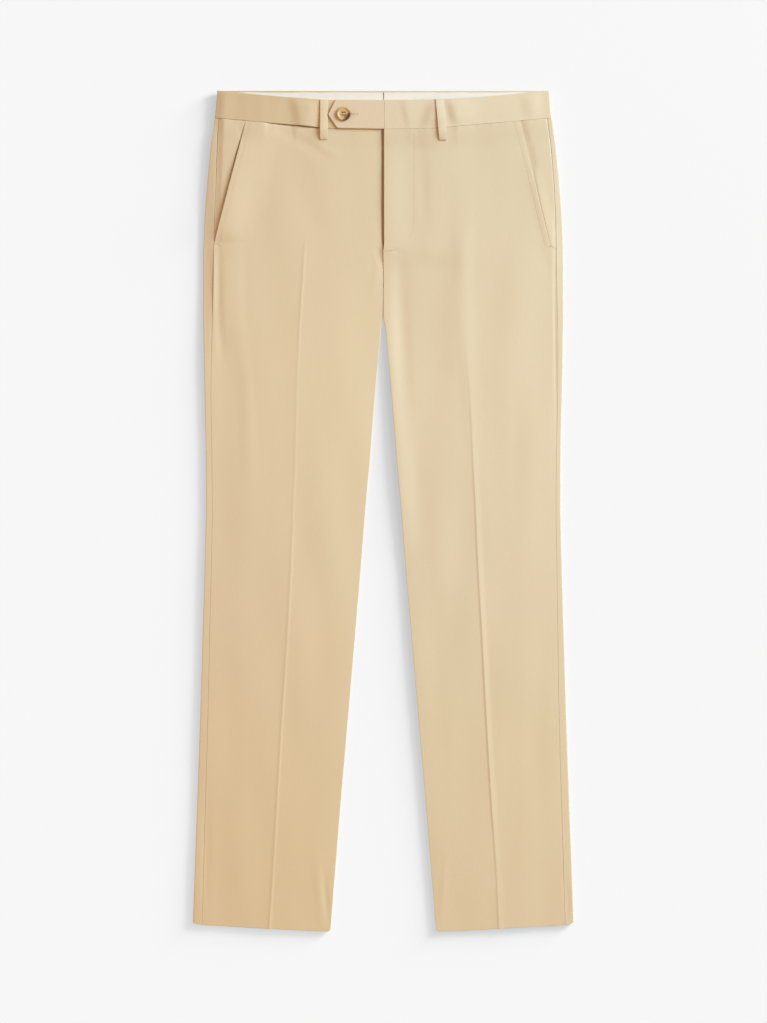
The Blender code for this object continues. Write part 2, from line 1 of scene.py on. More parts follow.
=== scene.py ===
"""Looks of the chino trousers: every cloth piece as a fine shell on its solid's form, the sewing, the horn
button, and a plain floor, light and camera.

Sizes are in millimetres until a point is placed. `across` is the distance from the middle line towards a
leg's outer side, `drop` the distance down from the waist's top edge, and `height` the distance above the
table. The first tables and functions repeat the solids' own, so that each shell lies on its solid.
"""
import math
from collections import namedtuple

import bmesh
import bpy
import numpy as np
from mathutils import Matrix


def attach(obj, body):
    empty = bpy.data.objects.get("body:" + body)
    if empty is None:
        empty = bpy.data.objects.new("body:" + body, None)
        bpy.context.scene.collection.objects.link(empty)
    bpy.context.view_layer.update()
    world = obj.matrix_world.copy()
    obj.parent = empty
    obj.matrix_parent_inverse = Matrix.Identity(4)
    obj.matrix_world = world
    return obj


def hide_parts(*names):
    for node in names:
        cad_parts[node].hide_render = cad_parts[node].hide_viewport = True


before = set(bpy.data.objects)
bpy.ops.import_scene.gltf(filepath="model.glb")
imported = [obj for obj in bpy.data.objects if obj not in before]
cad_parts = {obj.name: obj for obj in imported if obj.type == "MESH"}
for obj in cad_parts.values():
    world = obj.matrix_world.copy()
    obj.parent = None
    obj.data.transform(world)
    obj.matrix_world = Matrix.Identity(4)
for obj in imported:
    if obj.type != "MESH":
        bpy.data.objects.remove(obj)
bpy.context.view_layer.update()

MM = 0.001

# ---- sizes of the solids

LENGTH = 1068.0
CLOTH = 1.2
BAND_CLOTH = 2.2
LINING_CLOTH = 1.0
LOOP_CLOTH = 1.2
LOOP_SHOWN = (1.1, 0.4)     # the front loops' own cloth, at their left and right edges
MOUTH_CLOTH = 0.5       # cloth at the pocket mouths
GAP = 0.3
SEAM = 0.08             # the shells meet this closely at a seam
MIDDLE_GAP = 0.04
GRADING = 0.2           # how fast the steps of a grid grow away from its finest places
SETTLE_ROUNDS = 5
RIPPLES = (("size", "turns", "phase"), (1, 1, 0), (0.7, 1.62, 1.3), (0.5, 0.58, 0.4))

LEG_TOP = 5.6
LEG_SETTLE = 1.4
WAIST_LOFT = 300.0
WAIST_RISE = 1.4
WAIST_RISE_LENGTH = 30.0
BACK_LIFT = 1.7
BACK_LIFT_FLAT = 54.0
BACK_LIFT_LENGTH = 34.0
BAND_FOOT = 1.5
BAND_TOP = 7.6
BAND_MIDDLE = 17.0
BAND_WIDTH = 37.0
BAND_LEAN_START = 190.0
SIDE_FOLD = 0.5
BAND_FOLD = 1.0
INNER_ROLL = 0.45
FLAT_ROLL = 0.9
ROLL_QUARTER = 1.9      # an inner edge that rises this much turns a full quarter, a lower one less
ROLL_COUNT = 12
FOLD_TURN = np.linspace(0, math.pi, 15)[1:-1]
UNDER_BLEND = 20.0      # inwards from the fold, over this, the rows reach the back's own seam line

FLY_EDGE = 1.0
FLY_FOOT = 192.0
FLY_RUN_IN = 14.0
LAP_BELOW_FOOT = 6.0
LAP_SETTLE = 34.0
FLY_LIFT = 2.0
BAND_LIFT = 2.5
UNDERLAP = 4.0
SHIELD_WIDTH = 36.0
SHIELD_FOOT = 186.0
SHIELD_ROUND = 0.6
SHIELD_TIP = 0.02
FLY_GROOVE = 2.3        # the right front lies this much lower beside the fly's edge
FLY_GROOVE_START = -0.5
FLY_GROOVE_WIDTH = 3.6
FLY_GROOVE_SETTLE = 16.0
BAND_UNDERLAP = 38.0
BAND_SEAM_X = 1.56
TAB_TOP = BAND_TOP + BAND_LIFT
CROTCH = 284.0
CREVICE = 68.0

LAP = (
    ("across", "front", "band"),
    (0, 1, 1),
    (12, 0.98, 1),
    (30, 0.86, 1),
    (40, 0.78, 1),
    (46, 0.80, 0.98),
    (58, 0.88, 0.93),
    (78, 0.70, 0.78),
    (110, 0.30, 0.45),
    (140, 0.05, 0.18),
    (175, 0, 0),
)

OUTLINE = (
    ("drop", "side", "inner", "crease_right", "crease_left", "inset_right", "inset_left"),
    (0, 210.8, 0.02, 92, 99, 5, 5),
    (35, 213.9, 0.02, 93, 99.5, 4.6, 5.5),
    (70, 218.9, 0.02, 94, 100, 7.6, 6),
    (120, 223.9, 0.02, 96, 100.5, 11, 7),
    (170, 227.4, 0.02, 98, 101, 12.3, 8.3),
    (220, 228.9, 0.02, 101, 101.8, 13.2, 9),
    (284, 228.9, 0.02, 105.2, 103.2, 12.2, 7.8),
    (305, 228.6, 3.2, 106.5, 104.2, 11.2, 7),
    (330, 228.2, 5.4, 107.6, 106, 10, 6.5),
    (400, 226.8, 11.5, 110.3, 111, 7.8, 5.5),
    (470, 225.4, 17, 111.8, 114.3, 7.6, 5.5),
    (520, 225.2, 21.6, 114, 117, 8, 5.8),
    (600, 226.9, 27.9, 116.9, 120.6, 8.5, 6.5),
    (700, 229.8, 36.4, 122.2, 126.2, 9, 8),
    (800, 232.8, 44.9, 128.8, 131.4, 9.8, 9.3),
    (900, 236.3, 53.6, 134.6, 137.4, 10.5, 10),
    (1000, 240, 61.7, 140.5, 144.5, 11.5, 10.7),
    (1068, 242.4, 67.2, 145, 147.4, 12.3, 11),
)

WAIST = (
    ("across", "front_top", "front_seam", "back_top", "back_seam"),
    (0, 12.3, 49.4, 0, 37),
    (60, 11.9, 48.6, 0, 37),
    (107, 9.5, 44.4, 0, 36.6),
    (152, 5.8, 40.5, 0, 36),
    (185, 2.6, 37.6, 0, 35.4),
    (212, 0, 35, 0, 35),
)

HEM = (
    ("across", "drop"),
    (0, 1066),
    (66, 1065),
    (70, 1068),
    (130, 1065.5),
    (190, 1062.2),
    (236, 1059),
    (242.4, 1056.5),
)

# Largest soft folds, as in the solids: across and drop of the top end and the foot, half width, rise
FOLDS = {"right": (
    (206, 190, 202, 320, 17, 0.9),
    (204, 270, 200, 640, 28, -0.7),
    (62, 300, 74, 640, 34, 0.45),
    (196, 720, 206, 1066, 30, -0.5),
), "left": (
    (41, 222, 50, 470, 32, -0.6),
    (93, 150, 97, 400, 24, 0.6),
    (166, 110, 168, 470, 44, 0.6),
    (60, 420, 78, 700, 30, 0.4),
    (196, 780, 202, 1066, 26, -0.4),
)}

Side = namedtuple("Side", "name sign lap mouth_top mouth_foot foot_drop")
RIGHT = Side("right", -1, 0.0, 174.4, 214.6, 193.0)
LEFT = Side("left", 1, FLY_LIFT, 173.4, 212.4, 196.5)
SIDES = (RIGHT, LEFT)
MOUTH_SHELF = 5.0
MOUTH_SOFT = 52.0
FACING_HIDDEN = 28.0
FACING_LEAST = 1.0

LOOP_WIDTH = 10.0
# How far a front loop stands off, down its length
LOOP_OPEN = (
    ("along", "right", "left"),
    (0, 0.2, 0.2),
    (0.3, 0.8, 0.8),
    (0.55, 1.4, 1.4),
    (0.75, 2.1, 1.8),
    (0.88, 1.9, 1.6),
    (1, 0.1, 0.1),
)
LOOP_LEVEL = 0.85       # how far a loop bridges the folds that it crosses
LOOP_STEP = 9.0
LOOP_STEP_START = 1.5
LOOP_EDGES = (0.3, 0.3, 0.3, 0.2)
LOOP_CROWN = 0.2
LOOP_SEWN_AT = (0.03, 0.93)     # where a loop is sewn down, along its length
LOOP_SEWN_LENGTH = 0.05
LOOP_SEWN_DEPTH = 0.1
LOOP_BAR_AT = 0.87
FRONT_LOOPS = (
    ("side", "top_x", "foot_x", "top_drop", "foot_drop"),
    (RIGHT, -75.2, -75.2, 12, 62.7),
    (LEFT, 71.1, 76, 11.6, 64),
)
BACK_LOOPS = (("name", "x"), ("right", -125), ("centre", 0), ("left", 125))
BACK_LOOP_TOP = 0.5
BACK_LOOP_LENGTH = 50.0

BUTTON_X = -50.2
BUTTON_DROP = 30.4
BUTTON_RADIUS = 9.0
HOLE_RADIUS = 1.0
HOLE_PITCH = 3.4
BUTTON_SHARP = 35.0     # edges of the button sharper than this stay sharp
BUTTON_THREAD_LIFT = 2.3
BUTTON_THREAD_SHIFT = 0.22      # half the distance between the two threads of a bar
BUTTON_THREAD_RADIUS = 0.2

# ---- sizes of the finer forms

# Rounding of a shell's first and last row and first and last column
FRONT_EDGES = {"right": (0.12, 0.6, 0.15, 0.3), "left": (0.05, 0.6, 0.15, 0.3)}
BACK_EDGES = (0.12, 0.6, 0.12, 0.3)
BAND_EDGES = {"right": (0.2, 0.7, 0.04, 0.3), "left": (0.2, 0.06, 0.04, 0.3)}
TAB_EDGES = (0.8, 0.7, 0.8, 0.04)

# Pressed creases of the fronts: a fine pressed ridge on a soft one
CREASE_FORM = (
    ("drop", "fine_right", "fine_left", "soft_right", "soft_left", "width_left"),
    (0, 0, 0, 0, 0, 24),
    (120, 0, 0, 0, 0.3, 22),
    (186, 0, 0, 0, 0.7, 20),
    (206, 0.27, 0, 0.1, 0.8, 18),
    (270, 0.32, 0, 0.15, 0.5, 18),
    (342, 0.17, 0.05, 0.2, 0.5, 16),
    (430, 0.16, 0.3, 0.15, 0.3, 14),
    (520, 0.2, 0.52, 0.1, 0.2, 12),
    (610, 0.32, 0.56, 0.1, 0.15, 12),
    (711, 0.36, 0.66, 0.1, 0.1, 12),
    (812, 0.42, 0.7, 0.1, 0.1, 12),
    (901, 0.42, 0.66, 0.1, 0.1, 12),
    (990, 0.38, 0.42, 0.1, 0.1, 12),
    (1068, 0.46, 0.44, 0.2, 0.2, 12),
)
FINE_CREASE_WIDTH = {"right": (2.8, 3.2), "left": (2.5, 6)}   # towards the inner and the outer side
SOFT_CREASE_WIDTH = 14.0

# Small creases and soft shapes of the fronts: across and drop of the top end and the foot, how far the
# line bends sideways, half width, rise
FINE_FOLDS = {"right": (
    (60, 92, 150, 44, 4, 12, -0.5),
    (96, 60, 50, 84, 3, 7, 0.3),
    (210, 165, 205, 350, 2, 8, -0.75),
    (192, 160, 186, 370, 0, 18, 0.8),
    (228, 0, 230, 350, 0, 17, -1.8),
    (186, 36, 176, 68, 0, 7, -0.3),
    (178, 290, 168, 520, 0, 14, 0.5),
    (150, 60, 168, 190, -4, 16, 0.25),
    (118, 70, 60, 210, 8, 26, -0.25),
    (9, 196, 4, 224, 0, 4, -0.45),
    (14, 203, -2, 202, 0, 2.6, -0.3),
    (0, 194, 0, 214, 0, 4, 0.9),
    (5, 186, 14, 262, -2, 7, 0.3),
    (150, 330, 168, 620, 6, 22, 0.22),
    (86, 560, 96, 1000, -5, 24, -0.2),
    (180, 560, 176, 900, 5, 24, 0.22),
    (76, 985, 69, 1062, 1, 6, -0.5),
    (85, 960, 78, 1066, 0, 9, 0.35),
    (224, 880, 226, 1060, 0, 9, -0.35),
), "left": (
    (2, 40, 3, 214, 0, 33, 1.6),
    (50, 60, 56, 190, -2, 10, -0.3),
    (140, 60, 120, 210, 6, 24, -0.3),
    (3, 190, 6, 360, 0, 20, 0.6),
    (6, 320, 64, 1068, 0, 34, 0.9),
    (4, 262, 26, 600, 0, 26, 1.9),
    (21, 190, 27, 470, 0, 15, -0.9),
    (62, 170, 68, 420, 0, 26, -0.5),
    (4, 200, 24, 206, 0, 4, -0.3),
    (186, 84, 222, 236, 0, 14, 0.7),
    (228, 20, 230, 330, 0, 14, -0.8),
    (217.2, 130, 219.4, 450, 0, 3.2, -0.38),
    (140, 330, 150, 600, -4, 20, -0.25),
    (184, 300, 176, 620, 5, 20, 0.25),
    (92, 640, 104, 980, 4, 22, -0.22),
    (190, 620, 178, 960, -5, 22, 0.22),
    (80, 960, 74, 1062, 0, 7, 0.3),
    (232, 1000, 236, 1060, 0, 6, -0.35),
)}

# Hollows and soft troughs of the backs, on the side that lies on the table; columns as above
BACK_FOLDS = {"right": (
    (96, 120, 144, 1050, 6, 7, 0.6),
    (60, 110, 28, 300, 10, 22, 0.7),
    (150, 130, 190, 330, -8, 24, 0.6),
    (30, 300, 96, 470, 6, 14, 0.5),
    (180, 420, 150, 700, 10, 20, 0.4),
    (70, 600, 100, 900, -6, 16, 0.35),
    (200, 760, 210, 1040, 4, 16, 0.4),
), "left": (
    (100, 120, 147, 1050, 4, 7, 0.6),
    (52, 100, 22, 320, 8, 20, 0.7),
    (160, 120, 180, 360, 8, 26, 0.55),
    (24, 310, 84, 430, 4, 12, 0.5),
    (190, 440, 168, 760, -8, 20, 0.4),
    (64, 560, 88, 860, 6, 18, 0.4),
    (206, 800, 214, 1050, -4, 14, 0.35),
)}

# Fine gathering beside the seams
PUCKERS = (
    ("line", "depth", "wave", "reach"),
    ("side", 0.10, 13, 5),
    ("inner", 0.10, 15, 6),
    ("waist", 0.14, 15, 8),
    ("hem", 0.08, 21, 10),
    ("topstitch", 0.07, 9, 4),
)
DRIFT = 0.10            # slow unevenness of the cloth
DRIFT_WAVES = (("along_across", "along_drop", "phase"), (83, 240, 0.3), (131, -170, 1.9), (58, 410, 4.1))
SEAM_FALL = 0.22        # the fronts sink this much to their outer and inner edges
SEAM_FALL_WIDTH = 9.0
NO_SEAM = 99.0          # stands for the distance from the inseam above the crotch
STITCH_SINK = 0.035     # how deep a line of topstitching draws the cloth in
STITCH_SINK_WIDTH = 2.6
TOPSTITCH_IN = 6.4      # from the pocket mouth to its topstitching
TOPSTITCH_START = 1.5   # it starts this far below the waistband
TOPSTITCH_END = 4.0     # and ends this far below the mouth's foot

# The pocket mouths down their length: how far the front stands off, how far the facing swells from the side
# seam, and how deep it lies at the mouth and how far out it comes level again
MOUTH_FORM = (
    ("along", "gape_right", "swell_right", "depth_right", "reach_right", "depth_left", "reach_left"),
    (0, 0.2, 0.6, 0.62, 3, 0.9, 8),
    (0.12, 1.7, 1.3, 1.6, 3, 1.1, 12),
    (0.25, 3, 1.7, 2.6, 3.5, 1.15, 14),
    (0.32, 3.4, 1.6, 1.9, 4, 1.2, 14),
    (0.44, 4.1, 1.4, 0.9, 4, 0.62, 4),
    (0.7, 4.4, 1.4, 0.8, 4, 0.57, 1),
    (0.9, 2.9, 1, 0.7, 2, 0.57, 0.8),
    (1, 0.2, 0.5, 0.62, 1.5, 0.57, 0.8),
)
FACING_SWELL_WIDTH = 9.0
FACING_BEND = 1.5
FACING_LEVEL = {"right": 0.6, "left": 0.1}      # below the front, away from the mouth
MOUTH_DIP = 0.06        # the left front's edge turns down this far at the mouth
MOUTH_DIP_WIDTH = 2.0
SEAM_LIFT = 0.8         # the right front lies this much higher than the back along the seam under its pocket
SEAM_LIFT_LENGTH = 96.0
SEAM_LIFT_WIDTH = 9.0
MOUTH_THIN = 12.0

# How far the fronts lie below the waistband where they meet
SEAM_STEP = (
    ("across", "right", "left"),
    (0, 0.9, 0.02),
    (60, 0.9, 0.02),
    (74, 0.9, 0.1),
    (84, 1.1, 0.1),
    (97, 1.4, 0.02),
    (119, 1.3, 0.02),
    (140, 1, 0.02),
    (147, 0.7, 0.02),
    (152, 0.12, 0.02),
    (175, 0.08, 0.02),
    (215, 0.08, 0.02),
)

# The right front turns down this far into the dark seam under the waistband
SEAM_GROOVE = (
    ("across", "depth"),
    (0, 0), (76, 0), (84, 1.7), (112, 1.8), (138, 1.2), (147, 0.9), (152, 0), (215, 0),
)
SEAM_GROOVE_WIDTH = 3.0

# Lines of sewing, as across-distances and drops
FLY_STITCH = ((39.4, 51), (39.4, 120), (39.2, 172), (36.4, 182), (30.8, 189.5), (22.5, 196.5),
              (14.3, 202.4))
FLY_BAR = ((1.8, 203.8), (14.6, 203.2))
POCKET_BARS = {"right": ((213.6, 193.4), (205.4, 197.4)), "left": ((214.4, 198), (210.4, 197.6))}

# Stitches: pitch, length and radius
MOUTH_STITCH = (3.1, 2.3, 0.18)
FLY_THREAD = (3.0, 2.2, 0.18)
BAR = (0.5, 1.3, 0.13)
LOOP_BAR = (0.55, 1.6, 0.22)
HOLE_STITCH = (0.55, 1.7, 0.27)
STITCH_REACH = 0.6      # a stitch follows the cloth's slope over this to either side
STITCH_HEIGHT = 0.1
STITCH_SIDES = 6
STITCH_RINGS = (("along", "thick"), (-1, 0.35), (-0.7, 0.85), (0, 1), (0.7, 0.85), (1, 0.35))

# Folds of the waistband as steps, outwards from the middle: across, lean, width, rise. The height changes
# by the rise over the width, and lean is how far a step moves outwards down the waistband.
BAND_STEPS = {"right": (
    (89, 2, 18, 1.4),
    (112.5, -6, 15, -2.1),
    (130, 9, 16, 0.35),
    (148, -5, 12, 0.3),
    (160, 12, 14, -0.3),
    (178, -4, 14, -0.35),
    (194, 6, 16, 0.5),
    (208, 0, 14, -2.2),
), "left": (
    (27, 8, 8, 0.8),
    (38, 4, 14, -0.3),
    (56, -14, 16, 2.1),
    (73, 4, 12, -2.5),
    (86, 9, 12, 1.9),
    (108, 0, 34, -1.6),
    (180, 8, 14, 0.7),
    (196, 0, 16, -1),
)}
BAND_STEP_TOP = 0.3     # share of a step at the waistband's top edge
BAND_STEP_FULL = 0.3
BAND_STEP_FALL = 0.6    # it settles from here down
BAND_STEP_FOOT = {"right": 1.0, "left": 0.35}   # and at its seam

# The tab from its point to its seam at the fly: top and bottom edge, joined by straight lines
TAB = (
    ("x", "top", "bottom"),
    (-69.9, 30.8, 31.3),
    (-69.5, 30.1, 32),
    (-61.4, 14.1, 43.9),
    (-60.4, 12.7, 45.3),
    (-59.4, 12.1, 46.6),
    (-57.8, 11.9, 47.9),
    (-56.4, 11.9, 48.3),
    (1.5, 12.4, 49.3),
)

TAB_DRAWN = 0.35        # the tab is drawn in this far round the button
TAB_DRAWN_START = 2.0   # from this far inside the button's rim
TAB_DRAWN_WIDTH = 9.0
TAB_WAVE = 0.12
TAB_WAVE_LENGTH = 26.0
TAB_RISE = 0.25         # its face over the solid's, and the most that it rises with its waves
TAB_MOST = 0.2
BUTTONHOLE = (-45.0, -31.6)     # its stitches run between these, on both sides of the slit
BUTTONHOLE_HALF = 0.95
BUTTONHOLE_END = -31.3
BUTTONHOLE_LIFT = 0.16

BAND_CURL = 1.6         # the waistband's top edge curls up a little at the back
BAND_CURL_WIDTH = 2.0
LINING_TOP = 2.1        # drop of the white lining's upper edge
LINING_FOOT = 34.0
LINING_INNER = 0.6
LINING_OUTER = 204.0
LINING_EDGE_WAVE = (0.25, 61.0)     # size and length
LINING_WAVE = (0.1, 23.0)
LINING_WAVE_LEAN = 9.0

BUTTON_PROFILE = (
    ("radius", "height"),
    (0, 0), (7.6, 0), (8.4, 0.25), (8.85, 0.8), (9, 1.5), (8.9, 2.2), (8.6, 2.7), (8.2, 2.95),
    (7.7, 3), (7.2, 2.9), (6.6, 2.6), (6, 2.3), (5.2, 2.12), (4, 2.05), (0, 2),
)
BUTTON_SIDES = 96
HOLE_SIDES = 20

# Looks
TWILL = (0.85, 0.675, 0.44)
LINING = (0.905, 0.87, 0.775)
THREAD = (0.83, 0.655, 0.425)
# Dark brown for the button's thread, darker than the thread alone, so that it also paints the shade in the
# button's four holes
BUTTON_THREAD_AND_HOLE_SHADE = (0.26, 0.16, 0.06)
HORN_LIGHT = (0.72, 0.50, 0.235)
HORN_CLOUD = (0.60, 0.37, 0.13)
HORN_DARK = (0.16, 0.065, 0.02)
HORN_DARK_SIDE = (0.76, -0.65)          # towards this side the horn turns brown
TWILL_PITCH = 0.45      # between two ribs of the twill
TWILL_ANGLE = 62.0
# Darkest and lightest factor on a colour
SLUB_TONES = (0.965, 1.03)
CLOUD_TONES = (0.985, 1.015)
RIB_TONES = (0.97, 1.01)
WEAVE_TONES = (0.97, 1.02)
TWIST_TONES = (0.9, 1.08)
# Scales of the noises, per metre
SLUB = (1500, 70, 1500)
CLOUD = 7.0
UNEVEN = 240.0
WEAVE = (2200, 2200, 2200)
TWIST = 2600.0
HORN_CLOUDS = 190.0
# Bumps: distance in millimetres and strength
TWILL_BUMP = (0.06, 0.6)
LINING_BUMP = (0.05, 0.5)
THREAD_BUMP = (0.04, 0.5)
HORN_CLOUD_RANGE = (0.42, 0.68)
HORN_DARK_RANGE = (0.0055, 0.0085)      # distance from the button's middle, in metres
HORN_DARK_SHIFT = 0.006                 # and how far the clouds shift it
# Painted light and shade of the cloth: soft tones that stand for how the lamp's light falls across the
# garment, darker towards the waist, warmer towards the hems and cooler towards the lamp's side; axis, where
# a tone starts and ends, and its factors there
LEG_PAINTED_SHADING = (
    ("Y", 0.20, 0.44, 1.0, 0.945),
    ("Y", -0.05, -0.40, 1.0, (1.01, 0.985, 0.925)),
    ("X", -0.12, -0.04, 1.0, (1.01, 1.03, 1.03)),
    ("X", -0.01, 0.02, 1.0, (0.965, 0.985, 1.015)),
)
# Painted shade of the waistband and the tab, as lit and shaded copies of the twill: the right half darker
# towards its side and lighter and cooler near the fly, the left half and the tab cooler
BAND_PAINTED_SHADING = {
    "right": (
        ("X", -0.118, -0.072, (0.87, 0.843, 0.778), (0.94, 0.911, 0.842)),
        ("X", -0.070, -0.005, 1.0, (1.016, 1.098, 1.247)),
    ),
    "left": (("X", 0.0, 0.2, (0.955, 1.0, 1.05), (0.955, 1.0, 1.05)),),
    "tab": (("X", -0.07, 0.0, (0.975, 0.975, 1.02), (0.96, 0.96, 1.005)),),
}

# Picture: the camera looks straight down on the middle of the photo's frame
PICTURE_HEIGHT = 1299.2
CAMERA_CENTRE = (0.3, -0.5)
CAMERA_LENS = 85.0
CAMERA_SENSOR = 36.0
CAMERA_FOCUS_HEIGHT = 5.0
KEY = {"azimuth": 27.0, "elevation": 31.0, "distance": 4.0, "size": 2.3, "level": 0.57}
TABLE_LIGHT = {"azimuth": 34.0, "elevation": 11.5, "distance": 4.0, "size": 1.5, "level": 1.3}
KEY_COLOUR = (0.74, 1.0, 1.20)
SKY_COLOUR = (1.44, 1.0, 0.66)
SKY_LEVEL = 0.36
FLOOR_LEVEL = 0.952
FLOOR_SHARE = 0.20      # reflectance of the floor; its own glow makes up the rest
FLOOR_SOFT = 1.24       # softens how a light falls off over the table
FLOOR_NEAR = 1.9        # and its greatest share of the light under the picture's middle
FLOOR_SIZE = 80.0
FLOOR_DROP = 0.25       # just under the cloth, so that the two never share a plane


# ---- curves through the tables

def read(table, column, at):
    """Value of a column at a place along the first one, on a smooth curve that never overshoots."""
    index = table[0].index(column)
    places, values = np.array([(row[0], row[index]) for row in table[1:]], float).T
    secants = np.diff(values) / np.diff(places)
    slopes = np.concatenate((secants[:1], np.zeros(len(values) - 2), secants[-1:]))
    before, after = secants[:-1], secants[1:]
    same_way = before * after > 0
    slopes[1:-1][same_way] = 2 * (before * after)[same_way] / (before + after)[same_way]
    at = np.clip(at, places[0], places[-1])
    k = np.clip(np.searchsorted(places, at, side="right") - 1, 0, len(places) - 2)
    span = places[k + 1] - places[k]
    t = (at - places[k]) / span
    start = values[k] * (1 + 2 * t) * (1 - t) ** 2 + slopes[k] * span * t * (1 - t) ** 2
    end = values[k + 1] * (3 - 2 * t) * t ** 2 + slopes[k + 1] * span * (t - 1) * t ** 2
    return start + end


def ease(t):
    """0 to 1 with level ends."""
    t = np.clip(t, 0, 1)
    return t * t * (3 - 2 * t)


def fade(t):
    """1 to 0 with level ends."""
    return 1 - ease(t)


def swell(t):
    """0 to 1 and back."""
    return np.sin(math.pi * np.clip(t, 0, 1))


def mix(a, b, t):
    return a + (b - a) * t


def graded(length, coarse, start=None, end=None, between=()):
    """Fractions of a length, in coarse steps that shrink to finer ones at its start, its end and between."""
    fine_places = ((0, start or coarse), (length, end or coarse), *between)
    places = [0.0]
    while places[-1] < length:
        near = min(fine + GRADING * abs(places[-1] - at) for at, fine in fine_places)
        places.append(places[-1] + min(coarse, near))
    return np.array(places) / places[-1]


def ripple(along, wave):
    """Uneven short waves, between -1 and 1."""
    angle = 2 * math.pi * along / wave
    total = sum(size * np.sin(turns * angle + phase) for size, turns, phase in RIPPLES[1:])
    return total / sum(row[0] for row in RIPPLES[1:])


def line_distance(across, drop, line):
    """Distance of each point from a line through a few points."""
    nearest = np.full(np.shape(across), np.inf)
    for (a0, d0), (a1, d1) in zip(line, line[1:]):
        da, dd = a1 - a0, d1 - d0
        t = np.clip(((across - a0) * da + (drop - d0) * dd) / (da * da + dd * dd), 0, 1)
        nearest = np.minimum(nearest, np.hypot(across - a0 - t * da, drop - d0 - t * dd))
    return nearest


# ---- rows and columns of the grids

# A length, its coarsest step, and the steps at its start, at its end and between
LEG_ROWS = graded(1020, 4.4, 0.25, 0.12, ((22, 1.6), (158, 0.8), (235, 2.2)))
BACK_ROWS = graded(1025, 6.0, 0.25, 0.12, ((235, 2.5),))
OUTER_COLUMNS = graded(118, 2.6, 0.12, 0.5)
INNER_COLUMNS = graded(96, 2.6, 0.5, 0.5)
STRIP_COLUMNS = graded(8, 1.2, 0.12)
UNDER_COLUMNS = graded(200, 3.6, 0.8, 0.5)
FACING_ROWS = graded(160, 3.0, 0.3, 0.3)
FACING_COLUMNS = 1 - graded(30, 1.2, 0.15)[::-1]
HIDDEN_COLUMNS = graded(FACING_HIDDEN, 3.0, end=0.3)
SHIELD_ROWS = graded(136, 3.0, 0.3, 0.3)
SHIELD_COLUMNS = graded(SHIELD_WIDTH, 2.0, 0.3, 0.3)
BAND_ROWS = graded(BAND_WIDTH, 1.6, 0.12, 0.12)
LINING_ROWS = graded(32, 1.5, 0.15, 0.3)
LINING_COLUMNS = graded(LINING_OUTER, 2.4, 0.15, 0.3)
TAB_ROWS = graded(BAND_WIDTH, 1.3, 0.12, 0.12)
TAB_COLUMNS = graded(71, 1.3, 0.12, 0.12, ((8, 0.5), (14, 0.5)))
LOOP_ROWS = graded(52, 1.2, 0.12, 0.12)
LOOP_COLUMNS = graded(LOOP_WIDTH, 0.8, 0.12, 0.12)
BACK_LOOP_ROWS = graded(50, 2.0, 0.12, 0.12)


# ---- lines of the garment

def drop_at(level, across, seam="front_seam"):
    top = read(WAIST, seam, np.abs(across)) + SEAM
    return mix(top, read(HEM, "drop", np.abs(across)), level)


def settle(levels, line, seam="front_seam"):
    """Across-distances and drops where a line of the garment crosses the levels."""
    across = line(np.zeros_like(levels))
    for _ in range(SETTLE_ROUNDS):
        across = line(drop_at(levels, across, seam))
    return across, drop_at(levels, across, seam)


def outer_fold(drop):
    return read(OUTLINE, "side", drop)


def side_seam(side, drop):
    return outer_fold(drop) - read(OUTLINE, "inset_" + side.name, drop)


def crease(side, drop):
    return read(OUTLINE, "crease_" + side.name, drop)


def inseam(drop):
    return read(OUTLINE, "inner", drop)


def mouth(side, drop):
    """The slanted edge of a pocket."""
    top = read(WAIST, "front_seam", side.mouth_top) + GAP
    return mix(side.mouth_top, side.mouth_foot, (drop - top) / (side.foot_drop - top))


def front_outer_edge(side, drop):
    below = (drop - side.foot_drop) / MOUTH_SHELF
    shelf = mix(side.mouth_foot, side_seam(side, drop), np.clip(below, 0, 1))
    return np.where(below <= 0, mouth(side, drop), shelf)


def front_inner_edge(side, drop):
    top_edge, start = (FLY_EDGE, FLY_FOOT) if side is LEFT else (-UNDERLAP, FLY_FOOT - FLY_RUN_IN)
    return mix(top_edge, inseam(drop), ease((drop - start) / FLY_RUN_IN))


def topstitch(side):
    """The line of topstitching inside the pocket mouth."""
    top = float(read(WAIST, "front_seam", side.mouth_top)) + TOPSTITCH_START
    foot = side.foot_drop + TOPSTITCH_END
    return [(float(mouth(side, drop)) - TOPSTITCH_IN, drop) for drop in (top, foot)]


# ---- heights

def below_seam(across, drop):
    """How far a point lies below the waistband's front seam."""
    return drop - read(WAIST, "front_seam", np.abs(across))


def lap(piece, across, drop):
    """Share of the left side's lift over the right one."""
    return read(LAP, piece, across) * fade((drop - FLY_FOOT - LAP_BELOW_FOOT) / LAP_SETTLE)


def soft_folds(side, across, drop):
    """The largest folds, which the solids have too."""
    total = 0.0 * across
    for top_across, top_drop, foot_across, foot_drop, half_width, rise in FOLDS[side.name]:
        along = (drop - top_drop) / (foot_drop - top_drop)
        from_line = np.abs(across - mix(top_across, foot_across, along)) / half_width
        total = total + rise * swell(along) * fade(from_line)
    return total


def fine_folds(table, side, across, drop):
    """Smaller ridges and hollows along lines that may bend."""
    total = 0.0 * across
    for a0, d0, a1, d1, bend, half_width, rise in table[side.name]:
        da, dd = a1 - a0, d1 - d0
        length = math.hypot(da, dd)
        swollen = swell(((across - a0) * da + (drop - d0) * dd) / length ** 2)
        beside = ((across - a0) * dd - (drop - d0) * da) / length
        total = total + rise * swollen * fade(np.abs(beside - bend * swollen) / half_width)
    return total


